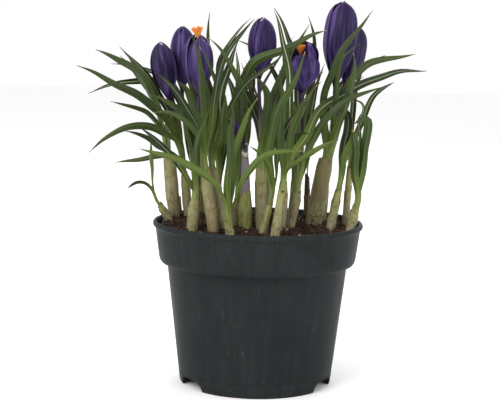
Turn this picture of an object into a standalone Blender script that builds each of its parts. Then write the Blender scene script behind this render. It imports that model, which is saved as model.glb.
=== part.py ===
"""Potted crocus: an injection-moulded nursery pot filled with peat, nine corms whose sheathed
shoots stand in plain holes in the soil, and the leaf tufts, blooms and stigmas they carry.

The pot's axis is Z and the pot stands on z = 0.  Lengths in the tables are millimetres.
"""

import itertools
import math
import random

import bmesh
import bpy
import numpy as np

MM = 0.001
FLAT_ANGLE = math.radians(0.1)      # faces nearer than this to one plane count as one
GAP = 0.3                 # clearance left between neighbouring pieces

# ---- pot -----------------------------------------------------------------------------------
POT_HEIGHT = 93.0
LIP_RADIUS = 60.0
LIP_HEIGHT = 3.5
BAND_TOP_RADIUS = 58.6
BAND_LOW_RADIUS = 56.4
BAND_LOW_Z = 73.2
STEP_RADIUS = 51.6
STEP_Z = 69.0
FOOT_RADIUS = 43.5
POT_WALL = 1.5
FOOT_WIDTH = 1.6
FLOOR_UNDERSIDE = 6.0
FLOOR_TOP = 7.6
POT_SIDES = 32
NOTCH_COUNT = 3
NOTCH_FIRST_DEG = 63.5    # turned from -Y towards +X
NOTCH_LOW_WIDTH = 22.0    # at the foot
NOTCH_TOP_WIDTH = 14.0
NOTCH_SHOULDER_Z = 3.4    # below this the notch's sides are steep
NOTCH_SHOULDER_IN = 1.5
NOTCH_TOP_Z = FLOOR_UNDERSIDE - 0.4
NOTCH_REACH = 6.0         # how far a cutter runs to each side of the foot ring
DRAIN_HOLE_RADIUS = 4.0
DRAIN_CIRCLE_RADIUS = 33.0
DRAIN_TURN = 0.30         # radians from a notch's middle to the holes at its sides

# ---- soil ----------------------------------------------------------------------------------
SOIL_RIM_Z = 89.0
SOIL_SIDES = 18
SOIL_SIDE_GAP = 0.65      # between the peat and the pot's wall
SOIL_LOW_CHAMFER = 1.6
CORM_RADIUS = 8.6
CORM_HEIGHT = 12.0
CORM_Z = 56.0

# ---- plant ---------------------------------------------------------------------------------
SHEATH_SIDES = 6
SHEATH_WALL = 0.75
SOCKET_DEPTH = 7.0
ROOT_SINK = 3.0           # how far a leaf runs down inside its tuft's neck
BLADE_THICK = 0.8
TWIST_LENGTH = 30.0       # height over which a blade turns from its root to its face
BACK_ROW = 50.0           # leaves with tips behind this face backwards
BEND_SPACING = 23.0       # length of a straight stretch of a blade
TUBE_RADIUS = 0.95
SPATHE_EXTRA = 0.4        # how much the papery spathe adds to the tube's radius
TEPAL_THICK = 0.75
TEPAL_COLUMNS = (3, 2)    # outer and inner tepals
TEPAL_ROWS = (4, 3)
SMALL_CUP = 4.0           # a cup no wider than this has only its outer tepals
RELAX_ROUNDS = 160
CLEARANCE = 0.75          # free space kept between the blades' centre-lines' envelopes

# Corms: centre of each, and the shoots that grow from it.
CORMS = {
    "corm_1": ((-34, 14), ("A", "B", "C", "D")),
    "corm_2": ((-20, 33), ("F", "V1")),
    "corm_3": ((-27, -20), ("E", "G", "H")),
    "corm_4": ((-15, 7), ("V2", "J")),
    "corm_5": ((-1, -33), ("I", "M", "N")),
    "corm_6": ((6, -9), ("K", "L", "O", "Q")),
    "corm_7": ((13, 32), ("V4", "V5", "P", "X")),
    "corm_8": ((33, 20), ("V3", "R")),
    "corm_9": ((37, -4), ("S", "T", "U")),
}

# Shoots: foot on the soil (x, y), mouth (x, y, z), radius at the foot, the middle and the mouth.
SHOOTS = {
    "A": ((-50, 11), (-58, 10, 101), 2.2, 2.2, 2.1),
    "B": ((-49, 18), (-53, 16, 131), 2.6, 3.9, 3.5),
    "C": ((-46, 26), (-48, 27, 106), 1.4, 1.5, 1.3),
    "D": ((-41, 20), (-44, 20, 119), 2.2, 2.6, 2.4),
    "E": ((-37, -22), (-35, -20, 108), 2.9, 2.9, 3.3),
    "F": ((-31, 37), (-36, 34, 113), 2.5, 3.0, 3.3),
    "G": ((-24, -26), (-30, -22, 126), 2.6, 3.3, 3.2),
    "H": ((-18, -19), (-26, -12, 124), 2.5, 2.8, 2.6),
    "I": ((-15, -31), (-16, -31, 98), 2.3, 2.4, 2.3),
    "J": ((-13, 3), (-12, 3, 107), 2.2, 2.4, 2.3),
    "K": ((-7, -7), (-8, -7, 133), 3.3, 3.0, 2.4),
    "L": ((2, -10), (1, -7, 125), 2.6, 3.3, 3.3),
    "M": ((2, -27), (7, -27, 109), 2.1, 2.1, 2.0),
    "N": ((9, -34), (13, -30, 117), 2.5, 2.4, 2.1),
    "O": ((13, -12), (14, -10, 118), 2.2, 3.0, 2.6),
    "Q": ((18, -3), (22, -1, 113), 2.2, 2.8, 3.3),
    "P": ((21, 34), (21, 34, 114), 2.2, 2.4, 2.3),
    "X": ((29, 38), (29, 37, 118), 1.7, 1.8, 1.7),
    "R": ((32, 14), (39, 12, 130), 4.4, 4.9, 4.8),
    "S": ((41, 0), (46, 0, 114), 2.6, 2.5, 2.4),
    "T": ((51, 16), (53, 18, 124), 2.1, 2.0, 1.9),
    "U": ((52, -4), (56, -4, 104), 2.7, 2.7, 2.6),
    "V1": ((-11, 38), (-11, 38, 113), 2.3, 2.5, 2.4),
    "V2": ((-24, 11), (-23, 11, 112), 2.3, 2.5, 2.4),
    "V3": ((38, 29), (39, 29, 117), 2.6, 3.0, 3.2),
    "V4": ((4, 19), (4, 19, 112), 2.3, 2.5, 2.4),
    "V5": ((6, 44), (5, 45, 110), 2.3, 2.4, 2.3),
}

# Leaves placed by hand: width, then points from above the mouth to the tip.
LEAVES = {
    "A": [(3.0, (-61, 10, 109), (-62, 10, 122), (-63, 10, 137)),
          (3.0, (-61, 8, 107), (-65, 6, 112), (-70, 3, 113), (-75, -2, 110))],
    "B": [(5.0, (-58, 13, 151), (-63, 9, 165), (-71, 4, 177), (-93, -4, 188)),
          (3.6, (-58, 17, 154), (-67, 15, 171), (-77, 12, 187)),
          (2.6, (-57, 12, 145), (-64, 8, 153), (-73, 3, 157), (-84, -4, 160))],
    "D": [(4.6, (-48, 12, 140), (-57, 0, 154), (-78, -18, 169), (-100, -30, 180)),
          (3.2, (-48, 27, 152), (-56, 34, 172), (-68, 38, 178), (-88, 42, 180)),
          (3.0, (-48, 26, 124), (-55, 29, 126), (-70, 32, 124), (-86, 34, 121)),
          (3.0, (-49, 14, 128), (-58, 8, 133), (-66, 3, 140), (-77, -4, 143)),
          (4.0, (-47, 12, 136), (-57, 3, 143), (-72, -6, 147), (-84, -12, 141), (-95, -18, 132))],
    "E": [(3.6, (-38, -23, 116), (-45, -25, 127), (-54, -27, 138), (-66, -30, 147)),
          (4.2, (-36, -22, 135), (-41, -25, 154), (-49, -28, 161), (-60, -30, 165)),
          (3.6, (-34, -26, 130), (-32, -32, 147), (-27, -36, 160))],
    "F": [(4.2, (-42, 33, 145), (-50, 27, 165), (-62, 18, 171), (-78, 10, 170), (-97, 4, 164)),
          (4.0, (-34, 34, 150), (-33, 32, 180), (-31, 30, 211)),
          (2.6, (-36, 22, 155), (-41, 14, 172), (-46, 8, 186)),
          (4.0, (-38, 48, 150), (-46, 62, 172), (-58, 74, 178))],
    "G": [(3.8, (-27, -18, 150), (-24, -15, 175), (-17, -11, 191), (-4, -4, 206)),
          (3.6, (-32, -27, 143), (-38, -29, 156), (-47, -30, 168), (-57, -30, 178)),
          (3.4, (-31, -29, 141), (-37, -34, 152), (-45, -37, 157), (-56, -40, 157)),
          (3.6, (-34, -34, 150), (-40, -52, 168), (-44, -70, 174))],
    "H": [(5.0, (-23, -12, 148), (-22, -12, 166), (-18, -11, 183), (-13, -9, 195)),
          (3.6, (-19, -16, 150), (-11, -20, 168), (0, -24, 177), (12, -26, 188)),
          (5.0, (-21, -18, 142), (-20, -26, 158), (-19, -32, 166))],
    "I": [(3.8, (-21, -33, 113), (-30, -36, 123), (-43, -39, 130), (-65, -42, 137)),
          (3.6, (-15, -32, 115), (-14, -34, 134), (-9, -38, 151), (-2, -42, 165)),
          (3.6, (-12, -34, 110), (-8, -38, 121), (0, -42, 132), (10, -46, 137), (23, -50, 138))],
    "J": [(4.2, (-12, -2, 142), (-11, -8, 160), (-15, -13, 174), (-20, -16, 184), (-31, -20, 196)),
          (3.4, (-20, 5, 160), (-22, 6, 184), (-15, 8, 197), (-5, 10, 208)),
          (5.2, (-14, 2, 165), (-7, -3, 181), (8, -5, 188), (20, -4, 194), (33, 8, 200))],
    "L": [(5.0, (3, -14, 146), (4, -18, 160), (2, -22, 170), (-3, -26, 177)),
          (3.6, (6, 2, 157), (13, 12, 180), (20, 17, 194), (27, 19, 205)),
          (3.6, (4, -15, 134), (8, -22, 140), (15, -29, 145), (27, -36, 147))],
    "M": [(4.6, (6, -30, 130), (8, -33, 150), (14, -36, 166), (20, -40, 178), (24, -43, 190)),
          (3.2, (7, -31, 119), (5, -36, 128), (0, -40, 135), (-5, -43, 139))],
    "N": [(4.4, (13, -27, 136), (15, -25, 158), (14, -22, 178), (10, -19, 198), (5, -17, 212)),
          (3.0, (15, -34, 125), (21, -39, 131), (30, -44, 138), (42, -50, 144)),
          (4.2, (12, -36, 137), (11, -44, 152), (12, -52, 163)),
          (3.6, (16, -46, 145), (20, -62, 160), (22, -78, 166))],
    "O": [(4.6, (24, -8, 139), (37, -2, 158), (54, 8, 168), (72, 18, 176), (98, 32, 179)),
          (4.0, (15, -14, 150), (12, -18, 180))],
    "Q": [(4.0, (22, 10, 150), (20, 21, 185), (14, 21, 201), (7, 20, 214)),
          (3.6, (28, -5, 141), (39, -5, 158), (53, -4, 167), (68, -3, 172)),
          (3.8, (22, -8, 143), (19, -14, 157), (14, -20, 167))],
    "P": [(4.0, (28, 35, 160), (31, 35, 182), (30, 32, 199), (27, 30, 210)),
          (3.2, (14, 32, 162), (4, 29, 184), (-6, 26, 192), (-15, 24, 196)),
          (4.2, (22, 48, 150), (26, 62, 172), (30, 75, 180))],
    "X": [(3.8, (40, 40, 152), (50, 42, 172), (61, 43, 182), (74, 44, 188))],
    "R": [(4.2, (36, 6, 150), (38, 0, 172), (44, -2, 188), (52, -3, 200), (62, -4, 213)),
          (2.8, (41, -2, 160), (43, -5, 180), (47, -6, 190), (54, -7, 195)),
          (4.4, (47, 8, 152), (50, 9, 168), (57, 14, 180), (73, 22, 186), (91, 30, 189)),
          (4.6, (43, 4, 148), (47, 2, 162), (51, 0, 175), (50, -2, 190)),
          (3.0, (46, 14, 158), (51, 16, 169), (58, 18, 176))],
    "S": [(4.4, (48, -2, 125), (51, -3, 136), (55, -4, 145)),
          (4.2, (48, 3, 134), (50, 5, 147), (49, 7, 158))],
    "T": [(3.4, (53, 20, 145), (55, 23, 165), (60, 30, 182)),
          (3.4, (58, 24, 145), (68, 34, 165), (80, 46, 172))],
    "U": [(4.2, (58, -4, 124), (60, -5, 141), (61, -5, 149), (58, -6, 154), (53, -7, 150)),
          (3.8, (54, -5, 124), (54, -9, 138), (52, -12, 147)),
          (1.6, (56, -1, 126), (57, 1, 143), (56, 2, 152), (59, 3, 157), (57, 4, 162),
           (51, 5, 161))],
    "V1": [(4.0, (-14, 50, 150), (-20, 64, 172), (-26, 78, 178)),
           (3.8, (-8, 42, 150), (-6, 44, 180), (-8, 46, 198))],
    "V2": [],
    "V4": [],
    "V5": [(3.8, (2, 52, 140), (-2, 66, 160), (-4, 76, 158))],
}

# Leaves placed by rule: how many more each tuft gets, turned round the shoot by the golden angle.
FILLERS = {"A": 0, "B": 1, "D": 1, "E": 1, "F": 1, "G": 1, "H": 1, "I": 1, "J": 1, "L": 1, "M": 1,
           "N": 1, "O": 1, "Q": 1, "P": 1, "X": 0, "R": 0, "S": 0, "T": 0, "U": 0, "V1": 3,
           "V2": 4, "V4": 4, "V5": 2}
GOLDEN_ANGLE = math.radians(137.5)

# Blooms: shoot, foot of the cup, tip of the cup, widest radius, how far open, spathe top z, and
# the angle by which the cup is turned, in radians.
BLOOMS = {
    "bloom_1": ("B", (-52, 16, 159), (-59, 16, 194), 7.4, 0.05, 150, 0.4),
    "bloom_2": ("F", (-46, 27, 165), (-46, 28, 203), 7.8, 0.12, 146, 0.4),
    "bloom_3": ("E", (-35, 1, 163), (-36, 1, 199), 8.6, 0.30, 134, 0.4),
    "bloom_4": ("L", (-1, 2, 174), (1, 5, 209), 8.0, 0.08, 140, 1.0),
    "bloom_5": ("Q", (23, 3, 166), (22, 3, 196), 10.4, 0.75, 128, 0.4),
    "bloom_6": ("R", (43, 18, 169), (47, 21, 219), 9.8, 0.20, 148, 0.4),
    "bloom_7": ("V3", (50, 36, 167), (57, 39, 205), 7.8, 0.35, 140, 0.4),
    "bloom_8": ("K", (-9, -8, 137), (-16, -8, 151), 2.7, 0.80, 135, 0.4),
}
# Stigmas: bloom, how far the fan's top lies beyond the foot of the cup, fan radius.
STIGMAS = {
    "stigma_3": ("bloom_3", 39.5, 3.0),
    "stigma_4": ("bloom_4", 26.0, 1.6),
    "stigma_5": ("bloom_5", 28.0, 2.8),
    "stigma_7": ("bloom_7", 35.0, 1.8),
    "stigma_8": ("bloom_8", 17.0, 1.2),
}

FINISHES = {
    "pot_plastic": ((0.055, 0.068, 0.070), 0.5),
    "peat_soil": ((0.020, 0.012, 0.008), 0.95),
    "sheath_white": ((0.620, 0.590, 0.420), 0.6),
    "leaf_green": ((0.060, 0.110, 0.025), 0.45),
    "tepal_violet": ((0.070, 0.030, 0.220), 0.5),
    "stigma_orange": ((0.800, 0.230, 0.010), 0.7),
}


def clear_scene():
    for item in list(bpy.data.objects):
        bpy.data.objects.remove(item, do_unlink=True)


def finish(name):
    """The plain material of one finish, made once."""
    made = bpy.data.materials.get(name)
    if made:
        return made
    made = bpy.data.materials.new(name)
    made.use_nodes = True
    shader = made.node_tree.nodes["Principled BSDF"]
    colour, roughness = FINISHES[name]
    shader.inputs["Base Color"].default_value = (*colour, 1.0)
    shader.inputs["Roughness"].default_value = roughness
    shader.inputs["Metallic"].default_value = 0.0
    return made


def solid(name, points, faces, finish_name):
    """A mesh object from points in millimetres and faces given counter-clockwise from outside."""
    mesh = bpy.data.meshes.new(name)
    mesh.from_pydata([tuple(float(c) * MM for c in p) for p in points], [], faces)
    mesh.update()
    item = bpy.data.objects.new(name, mesh)
    bpy.context.scene.collection.objects.link(item)
    mesh.materials.append(finish(finish_name))
    return item


def combine(base, others, operation, solver="MANIFOLD"):
    """Apply one Boolean of a collection of helper solids to base and remove the helpers."""
    if not others:
        return base
    group = bpy.data.collections.new("helpers")
    bpy.context.scene.collection.children.link(group)
    for other in others:
        bpy.context.scene.collection.objects.unlink(other)
        group.objects.link(other)
    step = base.modifiers.new("combine", "BOOLEAN")
    step.operand_type = "COLLECTION"
    step.collection = group
    step.operation = operation
    step.solver = solver
    graph = bpy.context.evaluated_depsgraph_get()
    mesh = bpy.data.meshes.new_from_object(base.evaluated_get(graph))
    base.modifiers.remove(step)
    base.data = mesh
    for other in others:
        bpy.data.objects.remove(other, do_unlink=True)
    bpy.data.collections.remove(group)
    fill_pockets(base)
    return base


def fill_pockets(item):
    """Fill the sealed pockets that blades fused side by side can enclose, and drop loose chips."""
    work = bmesh.new()
    work.from_mesh(item.data)
    bmesh.ops.remove_doubles(work, verts=work.verts, dist=0.02 * MM)
    bmesh.ops.triangulate(work, faces=work.faces)
    left = set(work.faces)
    shells = []
    while left:
        shell, queue = set(), [left.pop()]
        while queue:
            face = queue.pop()
            shell.add(face)
            for edge in face.edges:
                for other in edge.link_faces:
                    if other in left:
                        left.discard(other)
                        queue.append(other)
        volume = sum(f.verts[0].co.dot(f.verts[1].co.cross(f.verts[2].co)) for f in shell) / 6.0
        shells.append((volume, shell))
    largest = max(volume for volume, _ in shells)
    drop = [f for volume, shell in shells if volume < largest for f in shell]
    if drop:
        bmesh.ops.delete(work, geom=drop, context="FACES")
    bmesh.ops.dissolve_limit(work, angle_limit=FLAT_ANGLE, verts=work.verts, edges=work.edges,
                             use_dissolve_boundaries=False)
    bmesh.ops.triangulate(work, faces=work.faces)
    turn_shared_diagonals(work)
    work.to_mesh(item.data)
    work.free()


def turn_shared_diagonals(work):
    """Give an edge with four faces back its two: drop faces that lie back to back, and where
    two flat patches were cut along one diagonal cut one of them the other way."""
    work.normal_update()
    for edge in [e for e in work.edges if len(e.link_faces) == 4]:
        for one, other in itertools.combinations(list(edge.link_faces), 2):
            if set(one.verts) == set(other.verts):
                bmesh.ops.delete(work, geom=[one, other], context="FACES_ONLY")
                break
            if one.normal.dot(other.normal) < 0.9999:
                continue
            a, b = edge.verts
            c = next(v for v in one.verts if v not in edge.verts)
            d = next(v for v in other.verts if v not in edge.verts)
            if c is d or work.edges.get((c, d)):
                continue
            order = [v for v in one.verts]
            if order[(order.index(a) + 1) % 3] is not b:
                a, b = b, a
            bmesh.ops.delete(work, geom=[one, other], context="FACES_ONLY")
            work.faces.new((a, d, c))
            work.faces.new((d, b, c))
            break


def smooth(item, angle_deg=40.0):
    item.data.shade_smooth()
    item.data.set_sharp_from_angle(angle=math.radians(angle_deg))


def unit(v):
    v = np.asarray(v, float)
    return v / max(np.linalg.norm(v), 1e-9)


def side_axes(along):
    """Two directions square to a line's direction."""
    along = unit(along)
    first = np.cross(along, (0.0, 1.0, 0.0))
    if np.linalg.norm(first) < 0.1:
        first = np.cross(along, (1.0, 0.0, 0.0))
    first = unit(first)
    return first, np.cross(along, first)


# ---- curves --------------------------------------------------------------------------------

def spline(points, start=None, samples=12):
    """A smooth curve through the points; start is the direction in which it leaves the first."""
    points = np.array(points, float)
    chords = np.linalg.norm(np.diff(points, axis=0), axis=1)
    slopes = np.zeros_like(points)
    for i in range(1, len(points) - 1):
        before, after = chords[i - 1], chords[i]
        slopes[i] = ((points[i] - points[i - 1]) / before * after
                     + (points[i + 1] - points[i]) / after * before) / (before + after)
    last = (points[-1] - points[-2]) / chords[-1]
    slopes[-1] = 1.5 * last - 0.5 * slopes[-2]
    slopes[0] = unit(start) if start is not None else 1.5 * (points[1] - points[0]) / chords[0] \
        - 0.5 * slopes[1]
    out = []
    for i, chord in enumerate(chords):
        for t in np.linspace(0.0, 1.0, samples, endpoint=False):
            a = 2 * t ** 3 - 3 * t ** 2 + 1
            b = t ** 3 - 2 * t ** 2 + t
            out.append(a * points[i] + b * chord * slopes[i]
                       + (1 - a) * points[i + 1] + (t ** 3 - t ** 2) * chord * slopes[i + 1])
    out.append(points[-1])
    return np.array(out)


def even(points, count):
    """The curve's points again, count + 1 of them at equal distances."""
    steps = np.linalg.norm(np.diff(points, axis=0), axis=1)
    along = np.concatenate([[0.0], np.cumsum(steps)])
    wanted = np.linspace(0.0, along[-1], count + 1)
    return np.stack([np.interp(wanted, along, points[:, k]) for k in range(3)], axis=1)


# ---- pot -----------------------------------------------------------------------------------

def lathe(name, profile, sides, finish_name, turn=0.0):
    """Turn a closed profile that starts and ends on the axis."""
    points = [(0.0, 0.0, profile[0][1])]
    inner = profile[1:-1]
    for radius, z in inner:
        for k in range(sides):
            angle = turn + math.tau * k / sides
            points.append((radius * math.sin(angle), -radius * math.cos(angle), z))
    points.append((0.0, 0.0, profile[-1][1]))
    last = len(points) - 1
    faces = []
    for k in range(sides):
        after = (k + 1) % sides
        faces.append((0, 1 + after, 1 + k))
        for r in range(len(inner) - 1):
            low, high = 1 + r * sides, 1 + (r + 1) * sides
            faces.append((low + k, low + after, high + after, high + k))
        top = 1 + (len(inner) - 1) * sides
        faces.append((top + k, top + after, last))
    return solid(name, points, faces, finish_name)


def pot_inner_radius(z):
    """Radius of the pot's inner wall at a height."""
    heights = (FLOOR_TOP, STEP_Z, BAND_LOW_Z, POT_HEIGHT - 3.0)
    radii = (FOOT_RADIUS + 0.9 - POT_WALL, STEP_RADIUS - POT_WALL, BAND_LOW_RADIUS - POT_WALL,
             BAND_TOP_RADIUS - POT_WALL)
    return float(np.interp(z, heights, radii))


def notch_cutter(angle):
    """Block that cuts one water notch through the foot ring, with shoulders sloping inwards."""
    out = np.array((math.sin(angle), -math.cos(angle), 0.0))
    side = np.array((math.cos(angle), math.sin(angle), 0.0))
    half_low, half_top = NOTCH_LOW_WIDTH / 2, NOTCH_TOP_WIDTH / 2
    half_shoulder = half_low - NOTCH_SHOULDER_IN
    section = [(-half_low, -1.0), (half_low, -1.0), (half_shoulder, NOTCH_SHOULDER_Z),
               (half_top, NOTCH_TOP_Z), (-half_top, NOTCH_TOP_Z),
               (-half_shoulder, NOTCH_SHOULDER_Z)]
    points = [out * reach + side * a + np.array((0.0, 0.0, b))
              for reach in (FOOT_RADIUS - NOTCH_REACH, FOOT_RADIUS + NOTCH_REACH)
              for a, b in section]
    n = len(section)
    faces = [tuple(reversed(range(n))), tuple(range(n, 2 * n))]
    faces += [(i, (i + 1) % n, n + (i + 1) % n, n + i) for i in range(n)]
    return solid("notch", points, faces, "pot_plastic")


def build_pot():
    """Open pot with a rolled lip, a stepped band and a raised floor inside a notched foot ring."""
    foot_inner = FOOT_RADIUS - FOOT_WIDTH
    outer = [
        (0.0, FLOOR_UNDERSIDE), (foot_inner, FLOOR_UNDERSIDE), (foot_inner + 0.1, 0.0),
        (FOOT_RADIUS, 0.0), (STEP_RADIUS, STEP_Z), (BAND_LOW_RADIUS - 1.5, STEP_Z + 0.7),
        (BAND_LOW_RADIUS, BAND_LOW_Z), (BAND_TOP_RADIUS, POT_HEIGHT - LIP_HEIGHT),
        (LIP_RADIUS, POT_HEIGHT - 2.2), (LIP_RADIUS - 0.3, POT_HEIGHT - 0.5),
        (LIP_RADIUS - 1.2, POT_HEIGHT), (LIP_RADIUS - 2.2, POT_HEIGHT - 0.3),
    ]
    inner = [(pot_inner_radius(z), z) for z in
             (POT_HEIGHT - 3.0, BAND_LOW_Z, STEP_Z)]
    inner += [(pot_inner_radius(FLOOR_TOP), FLOOR_TOP + 1.5),
              (pot_inner_radius(FLOOR_TOP) - 1.5, FLOOR_TOP), (0.0, FLOOR_TOP)]
    pot = lathe("pot", outer + inner, POT_SIDES, "pot_plastic")
    cutters = []
    for k in range(NOTCH_COUNT):
        angle = math.radians(NOTCH_FIRST_DEG) + math.tau * k / NOTCH_COUNT
        cutters.append(notch_cutter(angle))
        for turn in (-DRAIN_TURN, DRAIN_TURN):
            x = DRAIN_CIRCLE_RADIUS * math.sin(angle + turn)
            y = -DRAIN_CIRCLE_RADIUS * math.cos(angle + turn)
            path = np.array([(x, y, FLOOR_UNDERSIDE - 2.0), (x, y, FLOOR_TOP + 2.0)])
            cutters.append(tube("drain", path, [DRAIN_HOLE_RADIUS] * 2, 6, "pot_plastic"))
    combine(pot, cutters, "DIFFERENCE", "EXACT")
    smooth(pot, 30.0)
    return pot


# ---- tubes: sheaths, corms, necks ----------------------------------------------------------

def tube(name, path, radii, sides, finish_name, socket=None, socket_depth=0.0):
    """A round solid along a path.  A socket of the given radius may be sunk into its far end."""
    path = np.asarray(path, float)
    rings = []
    for i, centre in enumerate(path):
        along = path[min(i + 1, len(path) - 1)] - path[max(i - 1, 0)]
        rings.append((centre, along, radii[i]))
    if socket:
        end, along, _ = rings[-1]
        rings.append((end, along, socket))
        rings.append((end - unit(along) * socket_depth, along, socket))
    points = []
    for centre, along, radius in rings:
        a, b = side_axes(along)
        for k in range(sides):
            angle = math.tau * k / sides
            points.append(centre + radius * (math.cos(angle) * a + math.sin(angle) * b))
    points.append(rings[0][0])
    points.append(rings[-1][0])
    first, last = len(points) - 2, len(points) - 1
    faces = []
    top = (len(rings) - 1) * sides
    for k in range(sides):
        after = (k + 1) % sides
        faces.append((first, after, k))
        for r in range(len(rings) - 1):
            low, high = r * sides, (r + 1) * sides
            faces.append((low + k, low + after, high + after, high + k))
        faces.append((top + k, top + after, last))
    return solid(name, points, faces, finish_name)


def soil_height(x, y):
    """Height of the peat: level with the rim at the back and left, lower at the front right."""
    lean = 0.030 * y - 0.018 * x
    lumps = 0.7 * math.sin(0.21 * x + 1.0) * math.cos(0.17 * y) \
        + 0.5 * math.sin(0.47 * x + 0.39 * y)
    return SOIL_RIM_Z + 0.6 + max(-2.2, min(2.2, lean)) + lumps


def sheath_path(key):
    """Centre-line of a shoot from inside its corm to its mouth, and where the soil crosses it."""
    (x, y), mouth, foot_radius, mid_radius, mouth_radius = SHOOTS[key]
    corm_xy = next(centre for centre, shoots in CORMS.values() if key in shoots)
    foot = np.array((x, y, soil_height(x, y)))
    mouth = np.array(mouth, float)
    corm = np.array((*corm_xy, CORM_Z + 1.0), float)
    under = foot - 6.0 * unit(unit(mouth - foot) + np.array((0.0, 0.0, 1.0)))
    path = [corm, under, mouth]
    radii = [1.6, foot_radius * 0.95, mouth_radius]
    if abs(mid_radius - (foot_radius + mouth_radius) / 2) > 0.3:
        path.insert(2, foot + (mouth - foot) * 0.45)
        radii.insert(2, mid_radius)
    return np.array(path), radii


def mouth_frame(key):
    """Mouth centre and direction of a shoot."""
    path, _ = sheath_path(key)
    return path[-1], unit(path[-1] - path[-2])


def corm_rings(centre, extra):
    """Path and radii of a flattened corm, grown on every side by extra."""
    half = CORM_HEIGHT / 2 + extra
    heights = (-1.0, -0.1, 1.0)
    shares = (0.35, 1.0, 0.35)
    path = np.array([(centre[0], centre[1], CORM_Z + half * h) for h in heights])
    return path, [CORM_RADIUS * s + extra for s in shares]


def build_corm(name, extra=0.0, sockets=True):
    """A corm with the sheaths that rise from it, as one grown piece."""
    centre, shoots = CORMS[name]
    path, radii = corm_rings(centre, extra)
    body = tube(name, path, radii, SHEATH_SIDES, "sheath_white")
    parts = []
    for key in shoots:
        path, radii = sheath_path(key)
        socket = radii[-1] - SHEATH_WALL if sockets and key != "C" else None
        parts.append(tube(key, path, [r + extra for r in radii], SHEATH_SIDES, "sheath_white",
                          socket, SOCKET_DEPTH))
    combine(body, parts, "UNION")
    smooth(body, 50.0)
    return body


def build_soil():
    """Peat that fills the pot, with a plain hole round every corm and shoot."""
    heights = (FLOOR_TOP + GAP, FLOOR_TOP + 1.5 + GAP, STEP_Z, BAND_LOW_Z, 84.0)
    sides = SOIL_SIDES
    points = [(0.0, 0.0, heights[0])]
    rings = []
    for i, z in enumerate(heights):
        radius = pot_inner_radius(z) - SOIL_SIDE_GAP - (SOIL_LOW_CHAMFER if i == 0 else 0.0)
        rings.append([(radius, z)] * sides)
    rim = pot_inner_radius(SOIL_RIM_Z) - SOIL_SIDE_GAP
    for share in (1.0, 0.55):
        ring = []
        for k in range(sides):
            angle = math.tau * k / sides
            x, y = rim * share * math.sin(angle), -rim * share * math.cos(angle)
            ring.append((rim * share, soil_height(x, y)))
        rings.append(ring)
    for ring in rings:
        for k, (radius, z) in enumerate(ring):
            angle = math.tau * k / sides
            points.append((radius * math.sin(angle), -radius * math.cos(angle), z))
    points.append((0.0, 0.0, soil_height(0.0, 0.0)))
    last = len(points) - 1
    faces = []
    for k in range(sides):
        after = (k + 1) % sides
        faces.append((0, 1 + after, 1 + k))
        for r in range(len(rings) - 1):
            low, high = 1 + r * sides, 1 + (r + 1) * sides
            faces.append((low + k, low + after, high + after))
            faces.append((low + k, high + after, high + k))
        top = 1 + (len(rings) - 1) * sides
        faces.append((top + k, top + after, last))
    soil = solid("soil", points, faces, "peat_soil")
    for name in CORMS:
        hole = build_corm(name, extra=GAP, sockets=False)
        hole.name = "hole"
        combine(soil, [hole], "DIFFERENCE")
    smooth(soil, 40.0)
    return soil


# ---- leaves --------------------------------------------------------------------------------

def filler_points(key, count, rng):
    """Control points of the leaves that a tuft gets by rule, leaning away from the pot's axis."""
    mouth, _ = mouth_frame(key)
    outward = math.atan2(mouth[1], mouth[0])
    spread = min(1.0, math.hypot(mouth[0], mouth[1]) / 45.0)
    leaves = []
    for k in range(count):
        turn = (k + 0.5) * GOLDEN_ANGLE + rng.uniform(-0.3, 0.3)
        turn = math.atan2(math.sin(turn), math.cos(turn))
        heading = outward + turn * (1.0 - 0.55 * spread)
        reach = rng.uniform(10.0, 26.0) + 12.0 * spread
        rise = min(rng.uniform(52.0, 86.0), 198.0 - mouth[2])
        out = np.array((math.cos(heading), math.sin(heading), 0.0))
        width = rng.uniform(3.2, 4.4)
        middle = mouth + out * reach * 0.28 + np.array((0.0, 0.0, rise * 0.55))
        tip = mouth + out * reach + np.array((0.0, 0.0, rise))
        leaves.append((width, tuple(middle), tuple(tip)))
    return leaves


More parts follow.
